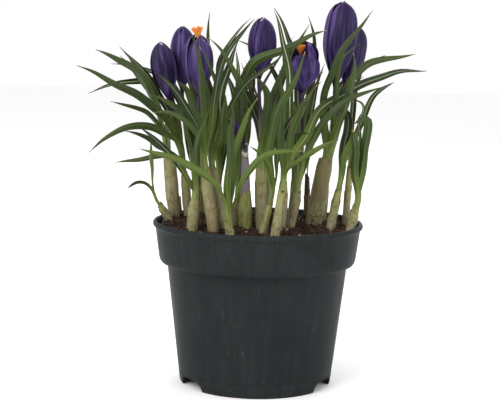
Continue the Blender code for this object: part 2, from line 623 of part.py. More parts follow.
def plan_leaves():
    """Centre-lines of all leaves before they are bent clear of each other."""
    rng = random.Random(7)
    plans = []
    with_bloom = {row[0]: row[1] for row in BLOOMS.values()}
    for key in LEAVES:
        mouth, axis = mouth_frame(key)
        neck = SHOOTS[key][4] - SHEATH_WALL - GAP
        rows = list(LEAVES[key]) + filler_points(key, FILLERS[key], rng)
        headings = [math.atan2(row[-1][1] - mouth[1], row[-1][0] - mouth[0]) for row in rows]
        hollow = key in with_bloom
        if hollow:
            foot = with_bloom[key]
            headings.append(math.atan2(foot[1] - mouth[1], foot[0] - mouth[0]))
        headings = spread_headings(headings, hollow)
        offset = neck * (0.86 if hollow else 0.72) - BLADE_THICK / 2
        for row, heading in zip(rows, headings):
            a = unit(np.array((math.cos(heading), math.sin(heading), 0.0))
                     - axis * np.dot((math.cos(heading), math.sin(heading), 0.0), axis))
            root = mouth + a * offset
            start = root + axis * 3.0
            curve = spline([start] + [np.array(p, float) for p in row[1:]], axis)
            length = np.linalg.norm(np.diff(curve, axis=0), axis=1).sum()
            bends = int(round(length / BEND_SPACING))
            bends = 7 if len(row) > 6 else max(3, min(5 if len(row) > 3 else 3, bends))
            line = np.vstack([root - axis * ROOT_SINK, even(curve, 2 * bends)])
            half_root = math.sqrt(max((0.84 * neck) ** 2 - (offset + BLADE_THICK / 2) ** 2, 0.2))
            turn, rise = rng.uniform(-0.6, 0.6), rng.uniform(0.1, 0.5)
            front = -math.pi / 2 if row[-1][1] < BACK_ROW else heading
            face = np.array((math.cos(front + turn), math.sin(front + turn), rise))
            plans.append({"shoot": key, "line": line, "width": row[0], "face": face,
                          "root_half": min(half_root, row[0] / 2), "heading": heading})
    return plans


def spread_headings(headings, last_is_stiff):
    """Turn headings round the mouth until no two are closer than their fair share."""
    turned = np.array(headings, float)
    free = np.ones(len(turned))
    free[-1] = 0.0 if last_is_stiff else 1.0
    order = np.argsort(turned)
    fair = min(math.radians(52.0), math.tau / len(turned) * 0.97)
    for _ in range(200):
        for place, i in enumerate(order):
            j = order[(place + 1) % len(order)]
            between = (turned[j] - turned[i]) % math.tau
            if i != j and between < fair:
                turned[i] -= (fair - between) / 2 * free[i]
                turned[j] += (fair - between) / 2 * free[j]
    return turned


def bloom_line(name):
    """Centre-line of a bloom's tube from the socket to the foot of the cup."""
    key, foot, tip, _, _, _, _ = BLOOMS[name]
    mouth, axis = mouth_frame(key)
    foot, tip = np.array(foot, float), np.array(tip, float)
    start = mouth + axis * 2.0
    end = unit(tip - foot)
    straight = start + axis * min(9.0, 0.3 * np.linalg.norm(foot - start))
    curve = spline([start, straight, foot - end * 1.5], axis)
    return np.vstack([mouth - axis * (SOCKET_DEPTH - GAP), even(curve, 4)])


def cup_profile(name, share):
    """Radius of the cup at a share of its height."""
    _, _, _, widest, opened, _, _ = BLOOMS[name]
    closed = TUBE_RADIUS * 1.2 + (widest - TUBE_RADIUS * 1.2) \
        * math.sin(math.pi * min(1.0, share / 0.56) / 2) ** 1.25
    if share > 0.56:
        t = (share - 0.56) / 0.44
        closed_tip = widest * (1.0 - 0.80 * t ** 2.1)
        open_tip = widest * (1.0 + 0.10 * t)
        closed = closed_tip * (1.0 - opened) + open_tip * opened
    return closed


def obstacle_segments():
    """Everything that does not bend: sheaths, tubes, cups and the pot's rim, as thick segments."""
    rows = []
    for key in SHOOTS:
        path, radii = sheath_path(key)
        for i in range(1, len(path) - 1):
            rows.append((path[i], path[i + 1], radii[i], radii[i + 1], key, "sheath"))
    for name, (key, foot, tip, _, _, spathe, _) in BLOOMS.items():
        line = bloom_line(name)
        for a, b in zip(line[1:-1], line[2:]):
            radius = TUBE_RADIUS + (SPATHE_EXTRA if a[2] < spathe else 0.0)
            rows.append((a, b, radius, radius, key, "tube"))
        foot, tip = np.array(foot, float), np.array(tip, float)
        shares = (0.0, 0.15, 0.35, 0.55, 0.75, 0.97)
        for s, t in zip(shares[:-1], shares[1:]):
            rows.append((foot + (tip - foot) * s, foot + (tip - foot) * t,
                         cup_profile(name, s), cup_profile(name, t), key, "cup"))
    for k in range(30):
        ends = [np.array((math.cos(math.tau * j / 30), math.sin(math.tau * j / 30), 0.0)) * 59.0
                + np.array((0.0, 0.0, POT_HEIGHT - 1.5)) for j in (k, k + 1)]
        rows.append((ends[0], ends[1], 1.6, 1.6, "pot", "rim"))
    return rows


def closest(p1, q1, p2, q2):
    """Shares along two sets of segments at which they are nearest each other."""
    d1, d2, r = q1 - p1, q2 - p2, p1 - p2
    a = np.einsum("ij,ij->i", d1, d1)
    e = np.einsum("ij,ij->i", d2, d2)
    f = np.einsum("ij,ij->i", d2, r)
    c = np.einsum("ij,ij->i", d1, r)
    b = np.einsum("ij,ij->i", d1, d2)
    low = np.maximum(a * e - b * b, 1e-6)
    s = np.clip((b * f - c * e) / low, 0.0, 1.0)
    t = np.clip((b * s + f) / np.maximum(e, 1e-6), 0.0, 1.0)
    s = np.clip((b * t - c) / np.maximum(a, 1e-6), 0.0, 1.0)
    return s, t


def relax(plans):
    """Bend the leaves clear of each other, mostly front to back, and of everything that is stiff."""
    fixed = obstacle_segments()
    sizes = [len(p["line"]) for p in plans]
    starts = np.concatenate([[0], np.cumsum(sizes)])
    points = np.vstack([p["line"] for p in plans])
    home = points.copy()
    mobile = np.ones(len(points))
    reach = np.zeros(len(points))
    for p, first in zip(plans, starts[:-1]):
        n = len(p["line"])
        steps = np.concatenate([[0.0], np.cumsum(np.linalg.norm(np.diff(p["line"], axis=0),
                                                                axis=1))])
        reach[first:first + n] = steps
        mobile[first:first + n] = np.clip((steps - ROOT_SINK - 3.0) / 8.0, 0.0, 1.0)
    leaf_of = np.concatenate([[i] * n for i, n in enumerate(sizes)])
    names = sorted(SHOOTS) + ["pot"]
    shoot_of_leaf = np.array([names.index(p["shoot"]) for p in plans])
    half = np.array([p["width"] / 2 for p in plans])
    seg = np.array([j for i, n in enumerate(sizes) for j in range(starts[i] + 1,
                                                                  starts[i] + n - 1)])
    seg_leaf = leaf_of[seg]
    grow = np.clip((reach[seg] - ROOT_SINK - 2.0) / 16.0, 0.0, 1.0)
    seg_radius = 0.5 + (half[seg_leaf] - 0.5) * grow
    seg_group = shoot_of_leaf[seg_leaf]
    fa = np.array([row[0] for row in fixed])
    fb = np.array([row[1] for row in fixed])
    fr = np.array([(row[2] + row[3]) / 2 for row in fixed])
    fgroup = np.array([names.index(row[4]) for row in fixed])
    fkind = np.array([row[5] == "sheath" for row in fixed])
    bias = np.array((0.45, 1.0, 0.45))
    count = len(seg)
    upper_i, upper_j = np.triu_indices(count, 1)
    apart = seg_leaf[upper_i] != seg_leaf[upper_j]
    upper_i, upper_j = upper_i[apart], upper_j[apart]
    grid_i, grid_j = np.meshgrid(np.arange(count), np.arange(len(fixed)), indexing="ij")
    grid_i, grid_j = grid_i.ravel(), grid_j.ravel()
    own = (seg_group[grid_i] == fgroup[grid_j]) & fkind[grid_j]
    grid_i, grid_j = grid_i[~own], grid_j[~own]
    for turn in range(RELAX_ROUNDS):
        if turn % 8 == 0:
            middle = (points[seg] + points[seg + 1]) / 2
            size = np.linalg.norm(points[seg + 1] - points[seg], axis=1) / 2
            near = np.linalg.norm(middle[upper_i] - middle[upper_j], axis=1) \
                < size[upper_i] + size[upper_j] + seg_radius[upper_i] + seg_radius[upper_j] + 4.0
            pair_i, pair_j = upper_i[near], upper_j[near]
            fmiddle, fsize = (fa + fb) / 2, np.linalg.norm(fb - fa, axis=1) / 2
            near = np.linalg.norm(middle[grid_i] - fmiddle[grid_j], axis=1) \
                < size[grid_i] + fsize[grid_j] + seg_radius[grid_i] + fr[grid_j] + 4.0
            wall_i, wall_j = grid_i[near], grid_j[near]
        push = np.zeros_like(points)
        weight = np.zeros(len(points))
        i, j = pair_i, pair_j
        p1, q1, p2, q2 = points[seg[i]], points[seg[i] + 1], points[seg[j]], points[seg[j] + 1]
        s, t = closest(p1, q1, p2, q2)
        between = (p1 + (q1 - p1) * s[:, None]) - (p2 + (q2 - p2) * t[:, None])
        distance = np.linalg.norm(between, axis=1)
        need = seg_radius[i] + seg_radius[j] + CLEARANCE
        same = seg_group[i] == seg_group[j]
        fan = np.minimum(grow[i], grow[j])
        need = np.where(same, need * fan ** 0.7, need)
        lack = need - distance
        hit = lack > 0
        way = between * bias
        way[:, 1] += np.where(np.abs(way[:, 1]) < 0.15,
                              np.where(seg_leaf[i] > seg_leaf[j], 0.3, -0.3), 0.0)
        way /= np.maximum(np.linalg.norm(way, axis=1), 1e-6)[:, None]
        move = way * (lack * 0.5)[:, None]
        for index, share, sign in ((i, s, 1.0), (j, t, -1.0)):
            for end, part in ((0, 1.0 - share), (1, share)):
                w = (part * hit)[:, None]
                np.add.at(push, seg[index] + end, sign * move * w)
                np.add.at(weight, seg[index] + end, (part * hit))
        i, j = wall_i, wall_j
        p1, q1, p2, q2 = points[seg[i]], points[seg[i] + 1], fa[j], fb[j]
        s, t = closest(p1, q1, p2, q2)
        between = (p1 + (q1 - p1) * s[:, None]) - (p2 + (q2 - p2) * t[:, None])
        distance = np.linalg.norm(between, axis=1)
        own = seg_group[i] == fgroup[j]
        need = seg_radius[i] + fr[j] + CLEARANCE
        need = np.where(own, need - (CLEARANCE - 0.1) * (1.0 - grow[i]), need)
        lack = need - distance
        hit = lack > 0
        way = between * np.where(own[:, None], 1.0, bias)
        way /= np.maximum(np.linalg.norm(way, axis=1), 1e-6)[:, None]
        move = way * lack[:, None]
        for end, part in ((0, 1.0 - s), (1, s)):
            np.add.at(push, seg[i] + end, move * (part * hit)[:, None] * 2.0)
            np.add.at(weight, seg[i] + end, (part * hit))
        points += push / np.maximum(weight, 1.0)[:, None] * mobile[:, None] * 0.9
        if turn < RELAX_ROUNDS - 12:
            shift = points - home
            for first, n in zip(starts, sizes):
                part = shift[first:first + n]
                part[1:-1] = 0.5 * part[1:-1] + 0.25 * (part[:-2] + part[2:])
                part[-1] = 0.5 * part[-1] + 0.5 * part[-2]
                part[:2] = 0.0
            points = home + shift * 0.995
    return [points[first:first + n] for first, n in zip(starts, sizes)]


def blade(name, line, plan, finish_name, thick=BLADE_THICK):
    """A strap leaf: four-sided section along the line, turned to its face, tapered to a tip."""
    width, root_half, heading = plan["width"], plan["root_half"], plan["heading"]
    line = np.asarray(line, float)
    steps = np.concatenate([[0.0], np.cumsum(np.linalg.norm(np.diff(line, axis=0), axis=1))])
    total = steps[-1]
    across = unit((-math.sin(heading), math.cos(heading), 0.0))
    points = []
    for i, centre in enumerate(line):
        along = unit(line[min(i + 1, len(line) - 1)] - line[max(i - 1, 0)])
        across = unit(across - along * np.dot(across, along))
        above = steps[i] - ROOT_SINK - 3.0
        wanted = unit(np.cross(plan["face"], along))
        wanted = wanted if np.dot(wanted, across) >= 0.0 else -wanted
        turned = min(1.0, max(0.0, above / TWIST_LENGTH))
        side = unit(across * (1.0 - turned) + wanted * turned)
        normal = np.cross(along, side)
        full = width / 2
        if above <= 0.0:
            half = root_half
        else:
            half = root_half + (full - root_half) * min(1.0, above / 22.0)
        share = steps[i] / total
        if share > 0.6:
            half *= max(0.2, 1.0 - ((share - 0.6) / 0.4) ** 1.6)
        half = max(half, 0.45)
        for a, b in ((-half, -thick / 2), (half, -thick / 2), (half, thick / 2),
                     (-half, thick / 2)):
            points.append(centre + side * a + normal * b)
    n = len(line)
    faces = [(0, 2, 1), (0, 3, 2)]
    for i in range(n - 1):
        p, q = 4 * i, 4 * (i + 1)
        faces += [(p, q + 1, q), (p, p + 1, q + 1)]
        faces += [(p + 1, q + 2, q + 1), (p + 1, p + 2, q + 2)]
        # The upper face is split along the same diagonal as the lower one.
        faces += [(p + 2, p + 3, q + 2), (q + 2, p + 3, q + 3)]
        faces += [(p + 3, q, q + 3), (p + 3, p, q)]
    e = 4 * (n - 1)
    faces += [(e, e + 1, e + 2), (e, e + 2, e + 3)]
    return solid(name, points, faces, finish_name)


def coarse(line):
    """The sunk root of a leaf's line, its start at the mouth and every second point beyond."""
    return line[[0] + list(range(1, len(line), 2))]


def build_tufts():
    """One tuft of leaves in the mouth of each shoot, the leaves grown on a short neck."""
    plans = plan_leaves()
    lines = relax(plans)
    with_bloom = {row[0] for row in BLOOMS.values()}
    for key in LEAVES:
        mouth, axis = mouth_frame(key)
        neck_radius = SHOOTS[key][4] - SHEATH_WALL - GAP
        path = np.array([mouth - axis * (SOCKET_DEPTH - GAP), mouth + axis * 0.6])
        name = "leaves_" + key.lower()
        neck = tube(name, path, [neck_radius] * 2, SHEATH_SIDES, "leaf_green")
        blades = []
        for plan, line in zip(plans, lines):
            if plan["shoot"] == key:
                blades.append(blade("blade", coarse(line), plan, "leaf_green"))
        combine(neck, blades, "UNION")
        if key in with_bloom:
            bore = tube("bore", np.array([mouth - axis * (SOCKET_DEPTH + 1.0),
                                          mouth + axis * 0.8]),
                        [TUBE_RADIUS + GAP] * 2, SHEATH_SIDES, "leaf_green")
            combine(neck, [bore], "DIFFERENCE")
        smooth(neck, 50.0)


# ---- blooms --------------------------------------------------------------------------------

def tepal(name, bloom, turn, inner):
    """One tepal: a curved blade that closes round the cup and narrows to its tip."""
    _, foot, tip, _, _, _, _ = BLOOMS[bloom]
    foot, tip = np.array(foot, float), np.array(tip, float)
    length = np.linalg.norm(tip - foot)
    along = unit(tip - foot)
    a, b = side_axes(along)
    height = length * (0.95 if inner else 1.0)
    rows, columns = TEPAL_ROWS[inner], TEPAL_COLUMNS[inner]
    sheets = []
    for level in (0.0, TEPAL_THICK):
        sheet = []
        for row in range(rows + 1):
            v = (row / rows) ** 0.85
            radius = cup_profile(bloom, v) - level - (1.75 * min(1.0, v * 3.0) if inner else 0.0)
            radius = max(radius - (0.5 if inner else 0.0), 0.55 - level * 0.3)
            spread = math.radians(24 + 30 * math.sin(math.pi * min(1.0, v / 0.5) / 2))
            if v > 0.6:
                spread *= 1.0 - 0.72 * ((v - 0.6) / 0.4) ** 1.5
            rise = height * v
            for column in range(columns + 1):
                u = 2.0 * column / columns - 1.0
                angle = turn + u * spread
                z = rise - length * 0.05 * u * u * max(0.0, v - 0.5)
                sheet.append(foot + along * z
                             + radius * (math.cos(angle) * a + math.sin(angle) * b))
        sheets.append(sheet)
    points = sheets[0] + sheets[1]
    wide, n = columns + 1, len(sheets[0])
    faces = []
    for r in range(rows):
        for c in range(columns):
            p = r * wide + c
            corner = (p, p + 1, p + wide + 1, p + wide)
            faces += [(corner[0], corner[1], corner[2]), (corner[0], corner[2], corner[3])]
            faces += [(n + corner[0], n + corner[2], n + corner[1]),
                      (n + corner[0], n + corner[3], n + corner[2])]
    edge = [c for c in range(wide)]
    edge += [r * wide + wide - 1 for r in range(1, rows + 1)]
    edge += [rows * wide + c for c in reversed(range(wide - 1))]
    edge += [r * wide for r in reversed(range(1, rows))]
    for p, q in zip(edge, edge[1:] + edge[:1]):
        faces += [(q, p, n + p), (q, n + p, n + q)]
    return solid(name, points, faces, "tepal_violet")


def build_bloom(name):
    """Six tepals grown together on a slender tube, its lower part wrapped in a papery spathe."""
    _, foot, tip, widest, _, spathe, turn = BLOOMS[name]
    line = bloom_line(name)
    foot, tip = np.array(foot, float), np.array(tip, float)
    path = np.vstack([line, foot + unit(tip - foot) * 1.2])
    mouth, _ = mouth_frame(BLOOMS[name][0])
    radii = []
    for point in path:
        wrapped = mouth[2] + 6.0 < point[2] < spathe
        radii.append(TUBE_RADIUS + (SPATHE_EXTRA if wrapped else 0.0))
    radii[-2:] = [TUBE_RADIUS * 1.15, TUBE_RADIUS * 1.35]
    body = tube(name, path, radii, SHEATH_SIDES, "tepal_violet")
    parts = []
    for k in range(3):
        parts.append(tepal("tepal", name, math.tau * k / 3 + turn, False))
        if widest > SMALL_CUP:
            parts.append(tepal("tepal", name, math.tau * (k + 0.5) / 3 + turn, True))
    combine(body, parts, "UNION")
    smooth(body, 50.0)
    return body


def build_stigma(name):
    """A style that ends in three ruffled fans, standing on the foot of its cup."""
    bloom, reach, fan = STIGMAS[name]
    _, foot, tip, _, _, _, _ = BLOOMS[bloom]
    foot, tip = np.array(foot, float), np.array(tip, float)
    along = unit(tip - foot)
    path = np.array([foot + along * s for s in (1.2 + GAP, reach * 0.72, reach - fan * 1.6,
                                                reach - 0.4, reach)])
    body = tube(name, path, [0.45, 0.5, 0.7, fan * 0.8, fan * 0.62], 6, "stigma_orange")
    smooth(body, 60.0)
    return body


def main():
    clear_scene()
    build_pot()
    for name in CORMS:
        build_corm(name)
    build_soil()
    build_tufts()
    for name in BLOOMS:
        build_bloom(name)
    for name in STIGMAS:
        build_stigma(name)


main()
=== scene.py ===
"""Potted crocus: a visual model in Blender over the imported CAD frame.

The leaf, shoot and flower lines follow the same rules and tables as the CAD source, so every fine
piece lies where its plain solid does.  Lengths in the tables and helper functions are
millimetres, and each mesh is scaled to metres when it is made.
"""

import math
import random

import bmesh
import bpy
import numpy as np
from mathutils import Matrix, Vector, noise


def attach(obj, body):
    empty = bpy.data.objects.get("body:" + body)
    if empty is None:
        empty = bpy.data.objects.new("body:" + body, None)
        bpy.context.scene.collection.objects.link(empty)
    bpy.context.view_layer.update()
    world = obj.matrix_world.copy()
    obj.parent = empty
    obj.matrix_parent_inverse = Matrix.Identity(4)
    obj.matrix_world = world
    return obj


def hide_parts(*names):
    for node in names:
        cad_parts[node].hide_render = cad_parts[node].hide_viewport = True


bl_info = {
    "name": "Potted crocus",
    "version": (1, 0, 0),
    "blender": (4, 5, 0),
    "location": "3D View > Sidebar > Crocus",
    "description": "Builds a detailed potted crocus over its packed solids",
    "category": "Object",
}

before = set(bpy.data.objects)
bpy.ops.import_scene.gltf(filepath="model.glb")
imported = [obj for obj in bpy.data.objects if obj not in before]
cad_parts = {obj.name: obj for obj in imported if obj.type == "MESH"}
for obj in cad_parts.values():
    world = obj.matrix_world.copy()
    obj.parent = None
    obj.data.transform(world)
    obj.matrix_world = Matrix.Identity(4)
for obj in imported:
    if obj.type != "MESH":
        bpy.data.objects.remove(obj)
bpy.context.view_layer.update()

MM = 0.001
GAP = 0.3                 # clearance left between neighbouring pieces
SEEDS = {"plan": 7, "shoots": 11, "leaves": 23, "flowers": 31, "stigmas": 41}

# ---- pot -----------------------------------------------------------------------------------
POT_HEIGHT = 93.0
LIP_RADIUS = 60.0
LIP_HEIGHT = 3.5
BAND_TOP_RADIUS = 58.6
BAND_LOW_RADIUS = 56.4
BAND_LOW_Z = 73.2
STEP_RADIUS = 51.6
STEP_Z = 69.0
FOOT_RADIUS = 43.5
FOOT_WIDTH = 1.6
POT_WALL = 1.5
FLOOR_UNDERSIDE = 6.0
FLOOR_TOP = 7.6
NOTCH_COUNT = 3
NOTCH_FIRST_DEG = 63.5    # turned from -Y towards +X
NOTCH_LOW_WIDTH = 22.0    # at the foot
NOTCH_TOP_WIDTH = 14.0
DRAIN_HOLE_RADIUS = 4.0
DRAIN_CIRCLE_RADIUS = 33.0
DRAIN_TURN = 0.30         # radians from a notch's middle to the holes at its sides

# ---- soil and plant ------------------------------------------------------------------------
SOIL_RIM_Z = 89.0
SOIL_SIDE_GAP = 0.65
CORM_RADIUS = 8.6
CORM_HEIGHT = 12.0
CORM_Z = 56.0
SHEATH_WALL = 0.75
SOCKET_DEPTH = 7.0
ROOT_SINK = 3.0           # how far a leaf runs down inside its sheath's mouth
BLADE_THICK = 0.8
TWIST_LENGTH = 30.0       # height over which a blade turns from its root to its face
BACK_ROW = 50.0           # leaves with tips behind this face backwards
BEND_SPACING = 23.0       # length of a straight stretch of a blade's plain solid
TUBE_RADIUS = 0.95
SPATHE_EXTRA = 0.4
SMALL_CUP = 4.0           # a cup no wider than this has only its outer tepals
RELAX_ROUNDS = 160
RELAX_LOOKS = 8           # rounds between two searches for neighbours
RELAX_LAST = 12           # rounds at the end that only part the leaves
RIM_STRETCHES = 30        # the pot's rim as straight stretches to keep clear of
RIM_THICK = 1.6
CLEARANCE = 0.75          # free space kept between the blades' envelopes

# Corms: centre of each, and the shoots that grow from it.
CORMS = {
    "corm_1": ((-34, 14), ("A", "B", "C", "D")),
    "corm_2": ((-20, 33), ("F", "V1")),
    "corm_3": ((-27, -20), ("E", "G", "H")),
    "corm_4": ((-15, 7), ("V2", "J")),
    "corm_5": ((-1, -33), ("I", "M", "N")),
    "corm_6": ((6, -9), ("K", "L", "O", "Q")),
    "corm_7": ((13, 32), ("V4", "V5", "P", "X")),
    "corm_8": ((33, 20), ("V3", "R")),
    "corm_9": ((37, -4), ("S", "T", "U")),
}

# Shoots: foot on the soil (x, y), mouth (x, y, z), radius at the foot, the middle and the mouth.
SHOOTS = {
    "A": ((-50, 11), (-58, 10, 101), 2.2, 2.2, 2.1),
    "B": ((-49, 18), (-53, 16, 131), 2.6, 3.9, 3.5),
    "C": ((-46, 26), (-48, 27, 106), 1.4, 1.5, 1.3),
    "D": ((-41, 20), (-44, 20, 119), 2.2, 2.6, 2.4),
    "E": ((-37, -22), (-35, -20, 108), 2.9, 2.9, 3.3),
    "F": ((-31, 37), (-36, 34, 113), 2.5, 3.0, 3.3),
    "G": ((-24, -26), (-30, -22, 126), 2.6, 3.3, 3.2),
    "H": ((-18, -19), (-26, -12, 124), 2.5, 2.8, 2.6),
    "I": ((-15, -31), (-16, -31, 98), 2.3, 2.4, 2.3),
    "J": ((-13, 3), (-12, 3, 107), 2.2, 2.4, 2.3),
    "K": ((-7, -7), (-8, -7, 133), 3.3, 3.0, 2.4),
    "L": ((2, -10), (1, -7, 125), 2.6, 3.3, 3.3),
    "M": ((2, -27), (7, -27, 109), 2.1, 2.1, 2.0),
    "N": ((9, -34), (13, -30, 117), 2.5, 2.4, 2.1),
    "O": ((13, -12), (14, -10, 118), 2.2, 3.0, 2.6),
    "Q": ((18, -3), (22, -1, 113), 2.2, 2.8, 3.3),
    "P": ((21, 34), (21, 34, 114), 2.2, 2.4, 2.3),
    "X": ((29, 38), (29, 37, 118), 1.7, 1.8, 1.7),
    "R": ((32, 14), (39, 12, 130), 4.4, 4.9, 4.8),
    "S": ((41, 0), (46, 0, 114), 2.6, 2.5, 2.4),
    "T": ((51, 16), (53, 18, 124), 2.1, 2.0, 1.9),
    "U": ((52, -4), (56, -4, 104), 2.7, 2.7, 2.6),
    "V1": ((-11, 38), (-11, 38, 113), 2.3, 2.5, 2.4),
    "V2": ((-24, 11), (-23, 11, 112), 2.3, 2.5, 2.4),
    "V3": ((38, 29), (39, 29, 117), 2.6, 3.0, 3.2),
    "V4": ((4, 19), (4, 19, 112), 2.3, 2.5, 2.4),
    "V5": ((6, 44), (5, 45, 110), 2.3, 2.4, 2.3),
}

# Leaves placed one by one: width, then points from above the mouth to the tip.
LEAVES = {
    "A": [(3.0, (-61, 10, 109), (-62, 10, 122), (-63, 10, 137)),
          (3.0, (-61, 8, 107), (-65, 6, 112), (-70, 3, 113), (-75, -2, 110))],
    "B": [(5.0, (-58, 13, 151), (-63, 9, 165), (-71, 4, 177), (-93, -4, 188)),
          (3.6, (-58, 17, 154), (-67, 15, 171), (-77, 12, 187)),
          (2.6, (-57, 12, 145), (-64, 8, 153), (-73, 3, 157), (-84, -4, 160))],
    "D": [(4.6, (-48, 12, 140), (-57, 0, 154), (-78, -18, 169), (-100, -30, 180)),
          (3.2, (-48, 27, 152), (-56, 34, 172), (-68, 38, 178), (-88, 42, 180)),
          (3.0, (-48, 26, 124), (-55, 29, 126), (-70, 32, 124), (-86, 34, 121)),
          (3.0, (-49, 14, 128), (-58, 8, 133), (-66, 3, 140), (-77, -4, 143)),
          (4.0, (-47, 12, 136), (-57, 3, 143), (-72, -6, 147), (-84, -12, 141), (-95, -18, 132))],
    "E": [(3.6, (-38, -23, 116), (-45, -25, 127), (-54, -27, 138), (-66, -30, 147)),
          (4.2, (-36, -22, 135), (-41, -25, 154), (-49, -28, 161), (-60, -30, 165)),
          (3.6, (-34, -26, 130), (-32, -32, 147), (-27, -36, 160))],
    "F": [(4.2, (-42, 33, 145), (-50, 27, 165), (-62, 18, 171), (-78, 10, 170), (-97, 4, 164)),
          (4.0, (-34, 34, 150), (-33, 32, 180), (-31, 30, 211)),
          (2.6, (-36, 22, 155), (-41, 14, 172), (-46, 8, 186)),
          (4.0, (-38, 48, 150), (-46, 62, 172), (-58, 74, 178))],
    "G": [(3.8, (-27, -18, 150), (-24, -15, 175), (-17, -11, 191), (-4, -4, 206)),
          (3.6, (-32, -27, 143), (-38, -29, 156), (-47, -30, 168), (-57, -30, 178)),
          (3.4, (-31, -29, 141), (-37, -34, 152), (-45, -37, 157), (-56, -40, 157)),
          (3.6, (-34, -34, 150), (-40, -52, 168), (-44, -70, 174))],
    "H": [(5.0, (-23, -12, 148), (-22, -12, 166), (-18, -11, 183), (-13, -9, 195)),
          (3.6, (-19, -16, 150), (-11, -20, 168), (0, -24, 177), (12, -26, 188)),
          (5.0, (-21, -18, 142), (-20, -26, 158), (-19, -32, 166))],
    "I": [(3.8, (-21, -33, 113), (-30, -36, 123), (-43, -39, 130), (-65, -42, 137)),
          (3.6, (-15, -32, 115), (-14, -34, 134), (-9, -38, 151), (-2, -42, 165)),
          (3.6, (-12, -34, 110), (-8, -38, 121), (0, -42, 132), (10, -46, 137), (23, -50, 138))],
    "J": [(4.2, (-12, -2, 142), (-11, -8, 160), (-15, -13, 174), (-20, -16, 184), (-31, -20, 196)),
          (3.4, (-20, 5, 160), (-22, 6, 184), (-15, 8, 197), (-5, 10, 208)),
          (5.2, (-14, 2, 165), (-7, -3, 181), (8, -5, 188), (20, -4, 194), (33, 8, 200))],
    "L": [(5.0, (3, -14, 146), (4, -18, 160), (2, -22, 170), (-3, -26, 177)),
          (3.6, (6, 2, 157), (13, 12, 180), (20, 17, 194), (27, 19, 205)),
          (3.6, (4, -15, 134), (8, -22, 140), (15, -29, 145), (27, -36, 147))],
    "M": [(4.6, (6, -30, 130), (8, -33, 150), (14, -36, 166), (20, -40, 178), (24, -43, 190)),
          (3.2, (7, -31, 119), (5, -36, 128), (0, -40, 135), (-5, -43, 139))],
    "N": [(4.4, (13, -27, 136), (15, -25, 158), (14, -22, 178), (10, -19, 198), (5, -17, 212)),
          (3.0, (15, -34, 125), (21, -39, 131), (30, -44, 138), (42, -50, 144)),
          (4.2, (12, -36, 137), (11, -44, 152), (12, -52, 163)),
          (3.6, (16, -46, 145), (20, -62, 160), (22, -78, 166))],
    "O": [(4.6, (24, -8, 139), (37, -2, 158), (54, 8, 168), (72, 18, 176), (98, 32, 179)),
          (4.0, (15, -14, 150), (12, -18, 180))],
    "Q": [(4.0, (22, 10, 150), (20, 21, 185), (14, 21, 201), (7, 20, 214)),
          (3.6, (28, -5, 141), (39, -5, 158), (53, -4, 167), (68, -3, 172)),
          (3.8, (22, -8, 143), (19, -14, 157), (14, -20, 167))],
    "P": [(4.0, (28, 35, 160), (31, 35, 182), (30, 32, 199), (27, 30, 210)),
          (3.2, (14, 32, 162), (4, 29, 184), (-6, 26, 192), (-15, 24, 196)),
          (4.2, (22, 48, 150), (26, 62, 172), (30, 75, 180))],
    "X": [(3.8, (40, 40, 152), (50, 42, 172), (61, 43, 182), (74, 44, 188))],
    "R": [(4.2, (36, 6, 150), (38, 0, 172), (44, -2, 188), (52, -3, 200), (62, -4, 213)),
          (2.8, (41, -2, 160), (43, -5, 180), (47, -6, 190), (54, -7, 195)),
          (4.4, (47, 8, 152), (50, 9, 168), (57, 14, 180), (73, 22, 186), (91, 30, 189)),
          (4.6, (43, 4, 148), (47, 2, 162), (51, 0, 175), (50, -2, 190)),
          (3.0, (46, 14, 158), (51, 16, 169), (58, 18, 176))],
    "S": [(4.4, (48, -2, 125), (51, -3, 136), (55, -4, 145)),
          (4.2, (48, 3, 134), (50, 5, 147), (49, 7, 158))],
    "T": [(3.4, (53, 20, 145), (55, 23, 165), (60, 30, 182)),
          (3.4, (58, 24, 145), (68, 34, 165), (80, 46, 172))],
    "U": [(4.2, (58, -4, 124), (60, -5, 141), (61, -5, 149), (58, -6, 154), (53, -7, 150)),
          (3.8, (54, -5, 124), (54, -9, 138), (52, -12, 147)),
          (1.6, (56, -1, 126), (57, 1, 143), (56, 2, 152), (59, 3, 157), (57, 4, 162),
           (51, 5, 161))],
    "V1": [(4.0, (-14, 50, 150), (-20, 64, 172), (-26, 78, 178)),
           (3.8, (-8, 42, 150), (-6, 44, 180), (-8, 46, 198))],
    "V2": [],
    "V4": [],
    "V5": [(3.8, (2, 52, 140), (-2, 66, 160), (-4, 76, 158))],
}

# Leaves placed by rule: how many more each tuft gets, turned round the shoot by the golden angle.
FILLERS = {"A": 0, "B": 1, "D": 1, "E": 1, "F": 1, "G": 1, "H": 1, "I": 1, "J": 1, "L": 1, "M": 1,
           "N": 1, "O": 1, "Q": 1, "P": 1, "X": 0, "R": 0, "S": 0, "T": 0, "U": 0, "V1": 3,
           "V2": 4, "V4": 4, "V5": 2}
GOLDEN_ANGLE = math.radians(137.5)

